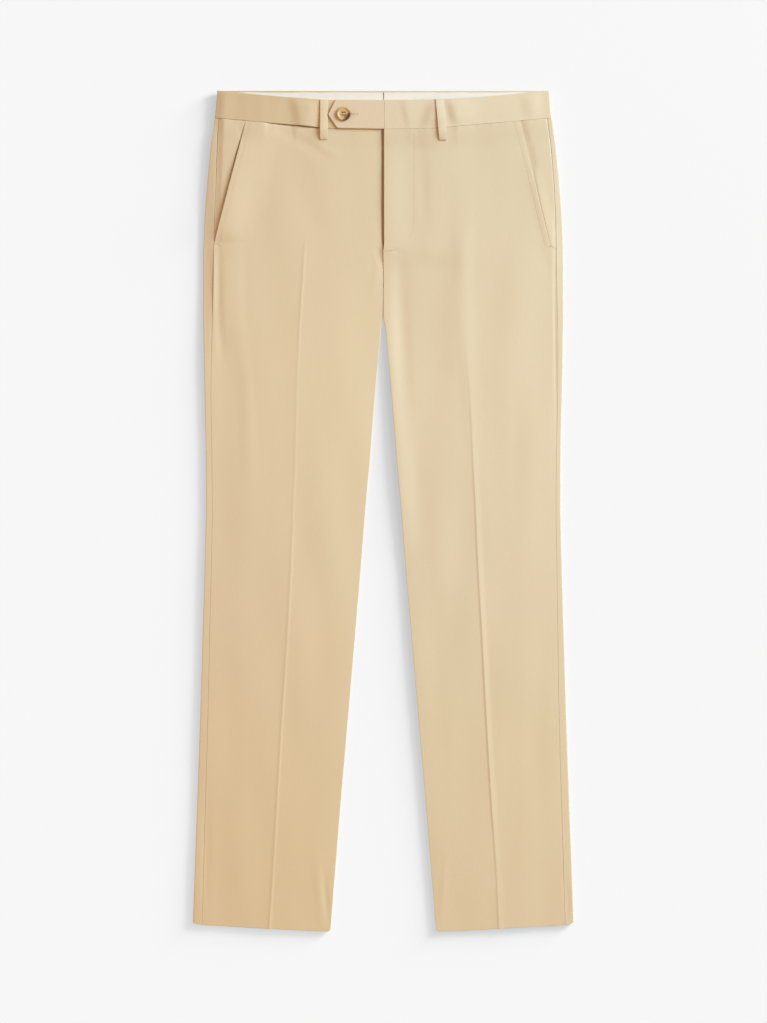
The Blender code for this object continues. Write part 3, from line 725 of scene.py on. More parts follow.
def puckers(side, across, drop):
    """Fine gathering beside the seams and the topstitching."""
    from_seam = {
        "side": np.abs(across - side_seam(side, drop)),
        "inner": np.abs(across - inseam(drop)),
        "waist": below_seam(np.maximum(across, 0), drop),
        "hem": read(HEM, "drop", across) - drop,
        "topstitch": line_distance(across, drop, topstitch(side)),
    }
    total = 0.0
    for line, depth, wave, reach in PUCKERS[1:]:
        along = across if line in ("waist", "hem") else drop
        total = total + depth * ripple(along, wave) * np.exp(-np.abs(from_seam[line]) / reach)
    return total


def drift(across, drop):
    """Slow unevenness of the cloth."""
    total = 0.0
    for wave_across, wave_drop, phase in DRIFT_WAVES[1:]:
        total = total + np.sin(2 * math.pi * (across / wave_across + drop / wave_drop) + phase)
    return DRIFT * total


def stitch_sink(side, across, drop):
    """How far the lines of stitching draw the cloth in."""
    lines = [topstitch(side), FLY_STITCH] if side is LEFT else [topstitch(side)]
    return STITCH_SINK * sum(fade(line_distance(across, drop, line) / STITCH_SINK_WIDTH) for line in lines)


def leg_height(across, drop):
    return LEG_TOP - LEG_SETTLE * ease(below_seam(across, drop) / WAIST_LOFT)


def pressed_crease(side, across, drop):
    """The front's crease: a fine ridge on a soft one."""
    from_crease = across - crease(side, drop)
    inward, outward = FINE_CREASE_WIDTH[side.name]
    fine = np.clip(1 + from_crease / inward, 0, 1) * np.clip(1 - from_crease / outward, 0, 1)
    ridge = read(CREASE_FORM, "fine_" + side.name, drop) * fine
    width = SOFT_CREASE_WIDTH if side is RIGHT else read(CREASE_FORM, "width_left", drop)
    return ridge + read(CREASE_FORM, "soft_" + side.name, drop) * fade(np.abs(from_crease) / width)


def upper_face(side, across, drop):
    """Height of a leg's upper face."""
    from_band = below_seam(across, drop)
    meeting = band_height(side, np.maximum(across, 0), 1.0) - read(SEAM_STEP, side.name, across)
    if side is RIGHT:
        meeting = np.minimum(BAND_TOP - read(SEAM_STEP, side.name, across), meeting)
    lapped = side.lap * lap("front", across, drop)
    from_inseam = np.where(drop > CROTCH, across - inseam(drop), NO_SEAM)
    from_edges = np.minimum(outer_fold(drop) - across, from_inseam)
    fallen = SEAM_FALL * np.exp(-np.maximum(from_edges, 0) / SEAM_FALL_WIDTH)
    height = mix(leg_height(across, drop) + lapped, meeting, fade(from_band / WAIST_RISE_LENGTH))
    height = height + pressed_crease(side, across, drop) - fallen
    height = height + soft_folds(side, across, drop) + fine_folds(FINE_FOLDS, side, across, drop)
    if side is RIGHT:
        beside_fly = fade((across - FLY_GROOVE_START) / FLY_GROOVE_WIDTH)
        height = height - FLY_GROOVE * beside_fly * fade((drop - SHIELD_FOOT) / FLY_GROOVE_SETTLE)
        height = height - read(SEAM_GROOVE, "depth", across) * fade(from_band / SEAM_GROOVE_WIDTH)
    return height + puckers(side, across, drop) + drift(across, drop) - stitch_sink(side, across, drop)


def lower_face(side, across, drop):
    """Height of the underside: flat on the table but for soft hollows and the step at the waistband."""
    step = BACK_LIFT * fade((drop - BACK_LIFT_FLAT) / BACK_LIFT_LENGTH)
    return step + np.maximum(fine_folds(BACK_FOLDS, side, across, drop), 0)


def front_height(side, across, drop):
    """Height of a front, with what it stands off at its pocket mouth and at the seam under the right one."""
    height = upper_face(side, across, drop)
    top = read(WAIST, "front_seam", side.mouth_top)
    along = np.clip((drop - top) / (side.foot_drop - top), 0, 1)
    from_mouth = np.maximum(mouth(side, drop) - across, 0)
    if side is LEFT:
        return height - MOUTH_DIP * (along * (1 - along) > 0) * fade(from_mouth / MOUTH_DIP_WIDTH)
    from_seam = np.maximum(front_outer_edge(side, drop) - across, 0)
    lift = SEAM_LIFT * swell((drop - side.foot_drop) / SEAM_LIFT_LENGTH) * fade(from_seam / SEAM_LIFT_WIDTH)
    return height + (lift + read(MOUTH_FORM, "gape_right", along) * fade(from_mouth / MOUTH_SOFT))


def front_wall(side, across, drop):
    """Thickness of a front, less at the pocket mouth."""
    beside = fade((mouth(side, drop) - across) / MOUTH_THIN)
    above_foot = ease((side.foot_drop + MOUTH_THIN - drop) / MOUTH_THIN)
    return mix(CLOTH, MOUTH_CLOTH, beside * above_foot)


def roll_width(drop):
    return mix(FLAT_ROLL, INNER_ROLL, ease((drop - CROTCH + CREVICE) / CREVICE))


def rolled_edge(inner, width, start, end):
    """Across-distances and heights of an inner edge that turns from one height to another on an oval."""
    rise = np.maximum(np.abs(end - start), CLOTH)
    whole = math.pi / 2 * np.minimum(rise / ROLL_QUARTER, 1)
    turn = whole * np.arange(1, ROLL_COUNT + 1) / ROLL_COUNT
    angle = np.arctan2(width * np.sin(turn), rise * np.cos(turn))
    last = angle[:, -1:]
    across = inner + width * (1 - np.sin(angle) / np.sin(last))
    return across, mix(start, end, (1 - np.cos(angle)) / (1 - np.cos(last)))


# ---- making meshes

def place(across, drop, height, sign=1):
    """Points of the garment, in metres."""
    points = np.broadcast_arrays(sign * np.asarray(across, float), LENGTH / 2 - drop, height)
    return np.stack(points, axis=-1) * MM


def unit(vectors):
    return vectors / np.linalg.norm(vectors, axis=-1, keepdims=True)


def add_object(name, data):
    made = bpy.data.objects.new(name, data)
    bpy.context.scene.collection.objects.link(made)
    return made


def add_mesh(name, points, faces, material):
    mesh = bpy.data.meshes.new(name)
    mesh.from_pydata(points.tolist(), [], faces)
    mesh.update()
    mesh.shade_smooth()
    mesh.materials.append(material)
    return add_object(name, mesh)


def run_lengths(points, axis):
    """Length along the rows or columns of a grid, up to each point."""
    steps = np.linalg.norm(np.diff(points, axis=axis), axis=-1)
    start = np.zeros_like(np.take(steps, [0], axis=axis))
    return np.concatenate((start, np.cumsum(steps, axis=axis)), axis=axis)


def shell(name, face, wall, material, edges=(0.4, 0.4, 0.4, 0.4)):
    """A closed sheet under a grid of points on its outer face.

    Edges are the lengths over which it is rounded at its first and last row and first and last column. The
    wall is one thickness, or one for each point.
    """
    rows, cols = face.shape[:2]
    normal = unit(np.cross(np.gradient(face, axis=0), np.gradient(face, axis=1)))
    turned = normal[:, :3, 2].mean() < 0
    if turned:
        normal = -normal
    full = np.ones((rows, cols))
    for axis, lengths in ((0, edges[:2]), (1, edges[2:])):
        run = run_lengths(face, axis)
        back = np.take(run, [-1], axis=axis) - run
        for from_edge, length in zip((run, back), lengths):
            t = np.clip(from_edge / (length * MM), 0, 1)
            full = np.minimum(full, np.sqrt(1 - (1 - t) ** 2))
    wall = np.broadcast_to(wall, (rows, cols)) * MM
    middle = face - normal * wall[..., None] / 2
    half = normal * (full * wall / 2)[..., None]
    outer_index = np.arange(rows * cols).reshape(rows, cols)
    inner_index = outer_index.copy()
    inside = (rows - 2) * (cols - 2)
    inner_index[1:-1, 1:-1] = rows * cols + np.arange(inside).reshape(rows - 2, cols - 2)
    points = np.concatenate(((middle + half).reshape(-1, 3), (middle - half)[1:-1, 1:-1].reshape(-1, 3)))
    faces = []
    for index, flip in ((outer_index, turned), (inner_index, not turned)):
        corners = (index[:-1, :-1], index[1:, :-1], index[1:, 1:], index[:-1, 1:])
        quads = np.stack(corners, axis=-1).reshape(-1, 4)
        faces += (quads[:, ::-1] if flip else quads).tolist()
    piece = add_mesh(name, points, faces, material)
    diagonals = np.cross(face[1:, 1:] - face[:-1, :-1], face[1:, :-1] - face[:-1, 1:])
    piece["face_area"] = float(np.linalg.norm(diagonals, axis=-1).sum() / 2)
    piece["face_size"] = [float(run_lengths(face, axis).max() + wall.max()) for axis in (1, 0)]
    return piece


def declare(piece, on_it=()):
    """Attach the sheet to the root body and hide the solid that it stands for; what it lies on, on_it, is
    not used.
    """
    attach(piece, "root")
    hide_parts(piece.name.removesuffix("_cloth"))


# ---- sewing

def stitches(name, middles, directions, length, radius, material):
    """Many short stitches as one mesh: closed spindles along their directions."""
    middles, directions = np.asarray(middles, float), unit(np.asarray(directions, float))
    across = unit(np.cross(directions, (0, 0, 1.0)))
    up = np.cross(across, directions)
    turn = 2 * math.pi * np.arange(STITCH_SIDES) / STITCH_SIDES
    rings = []
    for along, thick in STITCH_RINGS[1:]:
        ring = middles[:, None] + directions[:, None] * along * length / 2
        ring = ring + across[:, None] * (thick * radius * np.cos(turn))[:, None]
        rings.append(ring + up[:, None] * (thick * radius * np.sin(turn))[:, None])
    points = np.stack(rings, axis=1).reshape(-1, 3) * MM
    one = []
    last = (len(rings) - 1) * STITCH_SIDES
    for ring in range(0, last, STITCH_SIDES):
        for k in range(STITCH_SIDES):
            a, b = ring + k, ring + (k + 1) % STITCH_SIDES
            one.append((a, b, b + STITCH_SIDES, a + STITCH_SIDES))
    one.append(tuple(range(STITCH_SIDES))[::-1])
    one.append(tuple(last + k for k in range(STITCH_SIDES)))
    size = len(rings) * STITCH_SIDES
    faces = [tuple(size * n + i for i in face) for n in range(len(middles)) for face in one]
    piece = add_mesh(name, points, faces, material)
    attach(piece, "root")
    return piece


def along_line(line, pitch):
    """Points and directions at even distances along a line through a few points."""
    points = np.array(line, float)
    run = np.concatenate(([0], np.cumsum(np.hypot(*np.diff(points, axis=0).T))))
    places = np.arange(pitch / 2, run[-1], pitch)
    behind, at, ahead = (
        np.stack([np.interp(places + step, run, points[:, k]) for k in (0, 1)], axis=-1)
        for step in (-0.5, 0, 0.5)
    )
    return at, ahead - behind


def sew(name, side, line, kind, thread):
    """Stitches along a line on a front, or across it where they make a bar."""
    pitch, length, radius = kind
    at, heading = along_line(line, pitch)
    heading = unit(heading)
    if kind is BAR:
        heading = np.stack((-heading[:, 1], heading[:, 0]), axis=-1)
    ends = []
    for step in (-STITCH_REACH, 0.0, STITCH_REACH):
        across, drop = (at + heading * step).T
        height = front_height(side, across, drop) + STITCH_HEIGHT
        ends.append(place(across, drop, height, side.sign) / MM)
    return stitches(name, ends[1], ends[2] - ends[0], length, radius, thread)


# ---- legs

def front_face(side):
    """Outer face of a front, from the pocket mouth or side seam over the crease to the inner edge."""
    levels = LEG_ROWS[:, None]
    outer, _ = settle(levels, lambda drop: front_outer_edge(side, drop))
    fold, _ = settle(levels, lambda drop: crease(side, drop))
    inner, inner_drop = settle(levels, lambda drop: front_inner_edge(side, drop))
    roll = roll_width(inner_drop)
    across = np.hstack((mix(outer, fold, OUTER_COLUMNS), mix(fold, inner + roll, INNER_COLUMNS[1:])))
    height = front_height(side, across, drop_at(levels, across))
    top = height[:, -1:]
    middle = leg_height(0.0, inner_drop) / 2 + MIDDLE_GAP
    edge = mix(top, middle, ease((inner_drop - CROTCH + CREVICE) / CREVICE))
    rolled, rolled_height = rolled_edge(inner, roll, top, edge)
    across = np.hstack((across, rolled))
    return place(across, drop_at(levels, across), np.hstack((height, rolled_height)), side.sign)


def back_face(side):
    """Outer face of a back, from the side seam round the outer fold and under to the inner edge."""
    levels = BACK_ROWS[:, None]
    seam, _ = settle(levels, lambda drop: side_seam(side, drop))
    fold, fold_drop = settle(levels, outer_fold)
    inner, inner_drop = settle(levels, inseam, "back_seam")
    centre = fold - SIDE_FOLD
    strip = mix(seam + SEAM, centre, STRIP_COLUMNS)
    strip_drop = drop_at(levels, strip)
    strip_height = upper_face(side, strip, strip_drop)
    turned = centre + SIDE_FOLD * np.sin(FOLD_TURN)
    turned_drop = np.repeat(strip_drop[:, -1:], len(FOLD_TURN), axis=1)
    foot = lower_face(side, centre, fold_drop)
    turned_height = mix(foot, strip_height[:, -1:], (1 + np.cos(FOLD_TURN)) / 2)
    roll = roll_width(inner_drop)
    under = mix(centre, inner + roll, UNDER_COLUMNS)
    from_fold = ease((centre - under) / UNDER_BLEND)
    under_drop = mix(strip_drop[:, -1:], drop_at(levels, under, "back_seam"), from_fold)
    under_height = lower_face(side, under, under_drop)
    low = under_height[:, -1:]
    middle = leg_height(0.0, inner_drop) / 2 - MIDDLE_GAP
    edge = mix(low, middle, ease((inner_drop - CROTCH + CREVICE / 2) * 2 / CREVICE))
    rolled, rolled_height = rolled_edge(inner, roll, low, edge)
    across = np.hstack((strip, turned, under, rolled))
    drop = np.hstack((strip_drop, turned_drop, under_drop, drop_at(levels, rolled, "back_seam")))
    height = np.hstack((strip_height, turned_height, under_height, rolled_height))
    return place(across, drop, height, side.sign)


def facing_face(side):
    """Outer face of the pocket facing, from the side seam down behind the mouth and under the front."""
    top, bottom = (float(drop_at(level, side.mouth_foot)) for level in (0.0, 1.0))
    along = FACING_ROWS[:, None]
    levels = (side.foot_drop + MOUTH_SHELF - top) / (bottom - top) * along
    seam = settle(levels, lambda drop: side_seam(side, drop))[0] - SEAM
    opening = settle(levels, lambda drop: front_outer_edge(side, drop))[0]
    opening = np.minimum(opening, seam - FACING_LEAST)
    depth, reach = (read(MOUTH_FORM, f"{column}_{side.name}", along) for column in ("depth", "reach"))
    shown = mix(seam, opening, FACING_COLUMNS)
    drop = drop_at(levels, shown)
    level = FACING_LEVEL[side.name]
    sunk = level + (depth - level) * fade((shown - opening) / reach) ** FACING_BEND
    height = upper_face(side, shown, drop) - sunk
    if side is RIGHT:
        height = height + read(MOUTH_FORM, "swell_right", along) * ease((seam - shown) / FACING_SWELL_WIDTH)
    hidden = opening - FACING_HIDDEN * HIDDEN_COLUMNS[1:]
    hidden_drop = drop_at(levels, hidden)
    under_front = front_height(side, hidden, hidden_drop) - front_wall(side, hidden, hidden_drop) - SEAM
    height = np.hstack((height, np.minimum(under_front, height[:, -1:])))
    return place(np.hstack((shown, hidden)), np.hstack((drop, hidden_drop)), height, side.sign)


def make_legs(twill, thread):
    for side in SIDES:
        name = side.name
        back = shell(f"back_{name}_cloth", back_face(side), CLOTH, twill, BACK_EDGES)
        declare(back)
        facing = shell(f"pocket_facing_{name}_cloth", facing_face(side), MOUTH_CLOTH, twill)
        declare(facing)
        face = front_face(side)
        wall = front_wall(side, side.sign * face[..., 0] / MM, LENGTH / 2 - face[..., 1] / MM)
        front = shell(f"front_{name}_cloth", face, wall, twill, FRONT_EDGES[name])
        sewing = [
            sew("pocket_topstitch_" + name, side, topstitch(side), MOUTH_STITCH, thread),
            sew("pocket_bar_" + name, side, POCKET_BARS[name], BAR, thread),
        ]
        if side is LEFT:
            sewing.append(sew("fly_topstitch", side, FLY_STITCH, FLY_THREAD, thread))
            sewing.append(sew("fly_bar", side, FLY_BAR, BAR, thread))
        declare(front, sewing)


def make_fly_shield(twill):
    """The strip behind the fly, with a curved foot."""
    t = SHIELD_ROWS[:, None]
    drop = mix(read(WAIST, "front_seam", 0.0) + GAP, SHIELD_FOOT, t)
    rounded = np.maximum((t - SHIELD_ROUND) / (1 - SHIELD_ROUND), 0)
    width = SHIELD_WIDTH * np.sqrt(np.maximum(1 - rounded ** 2, SHIELD_TIP))
    x = UNDERLAP + GAP + width * SHIELD_COLUMNS
    height = leg_height(x, drop) + WAIST_RISE * fade(below_seam(x, drop) / WAIST_RISE_LENGTH)
    declare(shell("fly_shield_cloth", place(x, drop, height), CLOTH, twill))


# ---- waistband

def band_waves(side, across, t):
    """Folds of the waistband's front half; t runs from its top edge to its seam."""
    total = 0.0 * (across + t)
    for at, lean, width, rise in BAND_STEPS[side.name]:
        total = total + rise * ease((across - at - lean * (t - 0.5)) / width + 0.5)
    foot = mix(1.0, BAND_STEP_FOOT[side.name], ease((t - BAND_STEP_FALL) / (1 - BAND_STEP_FALL)))
    return total * mix(BAND_STEP_TOP, 1.0, ease(t / BAND_STEP_FULL)) * foot


def band_height(side, across, t):
    lift = BAND_LIFT * lap("band", across, 0.0) if side is LEFT else 0.0
    return BAND_TOP + lift + band_waves(side, across, t)


def band_face(side):
    """Outer face of half the waistband, from the fly round the side to the middle of the back."""
    t = BAND_ROWS[:, None]
    middle = float(outer_fold(BAND_MIDDLE))
    edge = middle - BAND_FOLD
    start = BAND_SEAM_X if side is LEFT else -BAND_UNDERLAP
    front = start + (edge - start) * graded(edge - start, 2.4, 0.12, 1.2)
    back = edge + (MIDDLE_GAP - edge) * graded(edge, 4.0, 1.2, 0.12)
    across = np.hstack((front, edge + BAND_FOLD * np.sin(FOLD_TURN), back))
    on_front = np.hstack((front * 0 + 1, fade(FOLD_TURN / math.pi), back * 0))
    top, foot = (
        mix(read(WAIST, "back_" + line, across), read(WAIST, "front_" + line, np.abs(across)), on_front)
        for line in ("top", "seam")
    )
    drop = mix(top, foot, t)
    near_fold = np.maximum(across - BAND_LEAN_START, 0) / (middle - BAND_LEAN_START)
    front_height = band_height(side, front, t)
    low = BAND_FOOT + BAND_CURL * fade(t * BAND_WIDTH / BAND_CURL_WIDTH)
    turned_height = mix(low, front_height[:, -1:], (1 + np.cos(FOLD_TURN)) / 2)
    height = np.hstack((front_height, turned_height, low + 0 * back))
    return place(across + near_fold * (outer_fold(drop) - middle), drop, height, side.sign)


def make_waistband():
    for side in SIDES:
        # Each half gets its own copy of the twill, with painted shade of its own.
        twill = make_twill("cotton_twill_band_" + side.name, BAND_PAINTED_SHADING[side.name])
        edges = BAND_EDGES[side.name]
        piece = shell(f"waistband_{side.name}_cloth", band_face(side), BAND_CLOTH, twill, edges)
        declare(piece)


def make_lining(lining):
    """White inner waistband of the back half."""
    t = LINING_ROWS[:, None]
    across = mix(LINING_INNER, LINING_OUTER, LINING_COLUMNS)
    size, length = LINING_EDGE_WAVE
    drop = mix(LINING_TOP, LINING_FOOT, t) + size * ripple(across, length)
    size, length = LINING_WAVE
    height = BAND_FOOT + BAND_CLOTH + GAP + LINING_CLOTH
    height = height + size * (1 + ripple(across + LINING_WAVE_LEAN * t, length))
    for side in SIDES:
        face = place(across, drop, height, side.sign)
        piece = shell(f"waistband_lining_{side.name}_cloth", face, LINING_CLOTH, lining)
        declare(piece)


def make_tab(thread):
    """The pointed tab, drawn in a little round the button, with its buttonhole."""
    xs, tops, bottoms = np.array(TAB[1:]).T
    x = mix(xs[0], xs[-1], TAB_COLUMNS)
    t = TAB_ROWS[:, None]
    drop = mix(np.interp(x, xs, tops), np.interp(x, xs, bottoms), t)
    from_button = np.hypot(x - BUTTON_X, drop - BUTTON_DROP)
    drawn = TAB_DRAWN * fade((from_button - BUTTON_RADIUS + TAB_DRAWN_START) / TAB_DRAWN_WIDTH)
    wave = TAB_WAVE * ripple(x + 0.4 * drop, TAB_WAVE_LENGTH)
    height = TAB_TOP + np.minimum(wave - drawn + TAB_RISE, TAB_MOST)
    # The tab's twill carries a little painted shade of its own.
    twill = make_twill("twill_tab_painted_shade", BAND_PAINTED_SHADING["tab"])
    piece = shell("waistband_tab_cloth", place(x, drop, height), BAND_CLOTH, twill, TAB_EDGES)
    declare(piece, make_buttonhole(thread))


def make_buttonhole(thread):
    """Two close rows of stitches beside the slit, and a bar across its end."""
    pitch, length, radius = HOLE_STITCH
    y, z = LENGTH / 2 - BUTTON_DROP, TAB_TOP + BUTTONHOLE_LIFT
    edges = (y - BUTTONHOLE_HALF, y + BUTTONHOLE_HALF)
    rows = [(x, edge, z) for edge in edges for x in np.arange(*BUTTONHOLE, pitch)]
    end = [(BUTTONHOLE_END, y + step, z + 0.02) for step in np.arange(-1.5, 1.6, 0.5)]
    over_edge, along_slit = (0.12, 1.0, 0.0), (1.0, 0.1, 0.0)
    directions = [over_edge] * len(rows) + [along_slit] * len(end)
    return [stitches("buttonhole_stitches", rows + end, directions, length, radius, thread)]


# ---- belt loops

def front_loop_face(side, top_x, foot_x, top_drop, foot_drop):
    """Outer face of a front loop and its thickness: bowed over the waistband, then down onto the front."""
    along = LOOP_ROWS[:, None]
    x = mix(top_x, foot_x, along) + (LOOP_COLUMNS - 0.5) * LOOP_WIDTH
    drop = mix(top_drop, foot_drop, along) + 0.0 * x
    across = np.abs(x)
    t = np.clip((drop - read(WAIST, "front_top", across)) / BAND_WIDTH, 0, 1)
    on_panel = ease((below_seam(x, drop) - LOOP_STEP_START) / LOOP_STEP)
    carrier = mix(band_height(side, across, t), upper_face(side, across, drop), on_panel)
    carrier = mix(carrier, carrier.max(axis=1, keepdims=True), LOOP_LEVEL)
    sewn = np.maximum(*(fade(np.abs(along - at) / LOOP_SEWN_LENGTH) for at in LOOP_SEWN_AT))
    wall = np.broadcast_to(mix(*LOOP_SHOWN, LOOP_COLUMNS), x.shape)
    shaped = LOOP_CROWN * swell(LOOP_COLUMNS) - LOOP_SEWN_DEPTH * sewn
    return place(x, drop, carrier + SEAM + wall + read(LOOP_OPEN, side.name, along) + shaped), wall


def loop_bars(side, face, thread):
    """A close bar of stitches across a front loop's foot."""
    pitch, length, radius = LOOP_BAR
    row = int(face.shape[0] * LOOP_BAR_AT)
    run = run_lengths(face[row:row + 1], 1)[0] / MM
    places = np.arange(2 * pitch, LOOP_WIDTH - 1.0, pitch)
    middles = np.stack([np.interp(places, run, face[row, :, k] / MM) for k in range(3)], axis=-1)
    middles = middles + (0, 0, STITCH_HEIGHT / 2)
    directions = [(0.1, 1.0, 0.0)] * len(places)
    return [stitches("belt_loop_bars_" + side.name, middles, directions, length, radius, thread)]


def make_front_loops(twill, thread):
    for side, *line in FRONT_LOOPS[1:]:
        face, wall = front_loop_face(side, *line)
        piece = shell(f"belt_loop_front_{side.name}_cloth", face, wall, twill, LOOP_EDGES)
        declare(piece, loop_bars(side, face, thread))


def make_back_loops(twill):
    drop = mix(BACK_LOOP_TOP, BACK_LOOP_LENGTH, BACK_LOOP_ROWS)[:, None]
    for name, x in BACK_LOOPS[1:]:
        face = place(x + LOOP_WIDTH * (LOOP_COLUMNS - 0.5), drop, LOOP_CLOTH)
        declare(shell(f"belt_loop_back_{name}_cloth", face, LOOP_CLOTH, twill))


# ---- button

def make_button(horn, thread):
    """A turned horn disc with four holes, sewn on with two bars of thread."""
    shape = bmesh.new()
    profile = [shape.verts.new((radius * MM, 0, height * MM)) for radius, height in BUTTON_PROFILE[1:]]
    edges = [shape.edges.new(pair) for pair in zip(profile, profile[1:])]
    bmesh.ops.spin(
        shape, geom=profile + edges, cent=(0, 0, 0), axis=(0, 0, 1), angle=2 * math.pi,
        steps=BUTTON_SIDES, use_merge=True, use_duplicate=False,
    )
    bmesh.ops.remove_doubles(shape, verts=shape.verts, dist=1e-6)
    bmesh.ops.recalc_face_normals(shape, faces=shape.faces)
    disc = add_shape("button_disc", shape)
    holes = bmesh.new()
    pitch, radius = HOLE_PITCH * MM / 2, HOLE_RADIUS * MM
    for x, y in ((-pitch, -pitch), (-pitch, pitch), (pitch, -pitch), (pitch, pitch)):
        made = bmesh.ops.create_cone(
            holes, cap_ends=True, segments=HOLE_SIDES, radius1=radius, radius2=radius, depth=0.012,
        )
        bmesh.ops.translate(holes, verts=made["verts"], vec=(x, y, 0.001))
    cutter = add_shape("button_holes", holes)
    cut = disc.modifiers.new("holes", "BOOLEAN")
    cut.operation = "DIFFERENCE"
    cut.solver = "EXACT"
    cut.object = cutter
    bpy.context.view_layer.update()
    mesh = bpy.data.meshes.new_from_object(disc.evaluated_get(bpy.context.evaluated_depsgraph_get()))
    for used in (disc, cutter):
        bpy.data.objects.remove(used)
    mesh.transform(Matrix.Translation(place(BUTTON_X, BUTTON_DROP, TAB_TOP + GAP)))
    mesh.shade_smooth()
    mesh.set_sharp_from_angle(angle=math.radians(BUTTON_SHARP))
    mesh.materials.clear()
    mesh.materials.append(horn)
    button = add_object("horn_button", mesh)
    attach(button, "root")
    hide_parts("button")
    middle = np.array((BUTTON_X, LENGTH / 2 - BUTTON_DROP, TAB_TOP + GAP + BUTTON_THREAD_LIFT))
    shifts = (-BUTTON_THREAD_SHIFT, BUTTON_THREAD_SHIFT)
    rows = [(y, shift) for y in (-HOLE_PITCH / 2, HOLE_PITCH / 2) for shift in shifts]
    middles = [middle + (0, y + shift, 0) for y, shift in rows]
    directions = [(1.0, 0.02 * shift, 0.0) for _, shift in rows]
    length = HOLE_PITCH + 2 * BUTTON_THREAD_RADIUS
    # The thread's dark colour also paints the shade in the holes.
    stitches("button_thread_and_hole_shade", middles, directions, length, BUTTON_THREAD_RADIUS, thread)


def add_shape(name, shape):
    mesh = bpy.data.meshes.new(name)
    shape.to_mesh(mesh)
    shape.free()
    return add_object(name, mesh)


# ---- materials

class Nodes:
    """Short calls for the nodes of one material; its uniform values are set on the shader's own sockets."""

    def __init__(self, name, colour, values):
        self.material = bpy.data.materials.new(name)
        self.material.use_nodes = True
        self.material.diffuse_color = (*colour, 1)
        self.tree = self.material.node_tree
        self.shader = self.tree.nodes["Principled BSDF"]
        self.feed(self.shader, {"Base Color": colour, **values})

    def feed(self, node, inputs):
        for name, value in inputs.items():
            socket = node.inputs[name]
            if isinstance(value, bpy.types.NodeSocket):
                self.tree.links.new(value, socket)
            else:
                socket.default_value = (*value, 1) if socket.type == "RGBA" else value

    def add(self, kind, inputs, output, **settings):
        """Output of a new node."""
        node = self.tree.nodes.new("ShaderNode" + kind)
        for name, value in settings.items():
            setattr(node, name, value)
        self.feed(node, inputs)
        return node.outputs[output]

    def place(self, scale=(1, 1, 1), turn=0.0):
        """Object coordinates, scaled and turned about the vertical."""
        where = self.add("TexCoord", {}, "Object")
        turned = {"Vector": where, "Scale": scale, "Rotation": (0, 0, math.radians(turn))}
        return self.add("Mapping", turned, "Vector")

    def noise(self, scale, stretch=(1, 1, 1), detail=3.0, turn=0.0):
        inputs = {"Vector": self.place(stretch, turn), "Scale": scale, "Detail": detail}
        return self.add("TexNoise", inputs, "Fac")

    def math(self, operation, a, b, kind="Math"):
        return self.add(kind, {0: a, 1: b}, "Value", operation=operation)

    def spread(self, value, start, end):
        """0 to 1 as a value runs from start to end."""
        return self.add("MapRange", {"Value": value, "From Min": start, "From Max": end}, "Result")

    def mix(self, blend, factor, a, b):
        inputs = {0: factor, 6: a, 7: b}
        return self.add("Mix", inputs, 2, data_type="RGBA", blend_type=blend)

    def shade(self, colour, value, low, high, start=0.0, end=1.0):
        """Colour made darker and lighter by a value that runs from start to end."""
        low, high = (tuple(np.broadcast_to(tone, 3)) for tone in (low, high))
        return self.mix("MULTIPLY", 1.0, colour, self.mix("MIX", self.spread(value, start, end), low, high))

    def finish(self, colour, height, bump):
        """The material, with this colour and bump."""
        inputs = {"Height": height, "Distance": bump[0] * MM, "Strength": bump[1]}
        self.feed(self.shader, {"Base Color": colour, "Normal": self.add("Bump", inputs, "Normal")})
        return self.material


def make_twill(name, painted_shading):
    """Fine diagonal ribs, slightly uneven yarns, a soft sheen, and soft tones of painted light and shade
    across the garment.
    """
    look = Nodes(name, TWILL, {
        "Roughness": 0.6, "Sheen Weight": 0.12, "Sheen Roughness": 0.5, "Specular IOR Level": 0.5,
    })
    ribs = look.add("TexWave", {
        "Vector": look.place(turn=TWILL_ANGLE), "Scale": math.pi / 10 / (TWILL_PITCH * MM),
        "Distortion": 0.6, "Detail": 1.0, "Detail Scale": 1.5,
    }, "Fac")
    slub = look.noise(1.0, SLUB)
    colour = look.shade(TWILL, slub, *SLUB_TONES)
    colour = look.shade(colour, look.noise(CLOUD, detail=2.0), *CLOUD_TONES)
    colour = look.shade(colour, ribs, *RIB_TONES)
    # Painted light and shade: the tables make the colour darker, lighter or cooler across the garment where
    # the lamp's light falls.
    where = look.add("SeparateXYZ", {"Vector": look.place()}, 0).node
    for axis, start, end, low, high in painted_shading:
        colour = look.shade(colour, where.outputs[axis], low, high, start, end)
    height = look.math("ADD", look.math("MULTIPLY", ribs, 0.7), look.math("MULTIPLY", slub, 0.5))
    uneven = look.math("MULTIPLY", look.noise(UNEVEN, detail=2.0), 0.5)
    return look.finish(colour, look.math("ADD", height, uneven), TWILL_BUMP)


def make_lining_look():
    """Plain white cotton."""
    values = {"Roughness": 0.85, "Sheen Weight": 0.1, "Specular IOR Level": 0.3}
    look = Nodes("lining_cotton", LINING, values)
    weave = look.noise(1.0, WEAVE, 2.0)
    return look.finish(look.shade(LINING, weave, *WEAVE_TONES), weave, LINING_BUMP)


def make_thread_look(name, colour):
    look = Nodes(name, colour, {"Roughness": 0.6, "Sheen Weight": 0.2, "Specular IOR Level": 0.4})
    twist = look.noise(TWIST, detail=1.0)
    return look.finish(look.shade(colour, twist, *TWIST_TONES), twist, THREAD_BUMP)


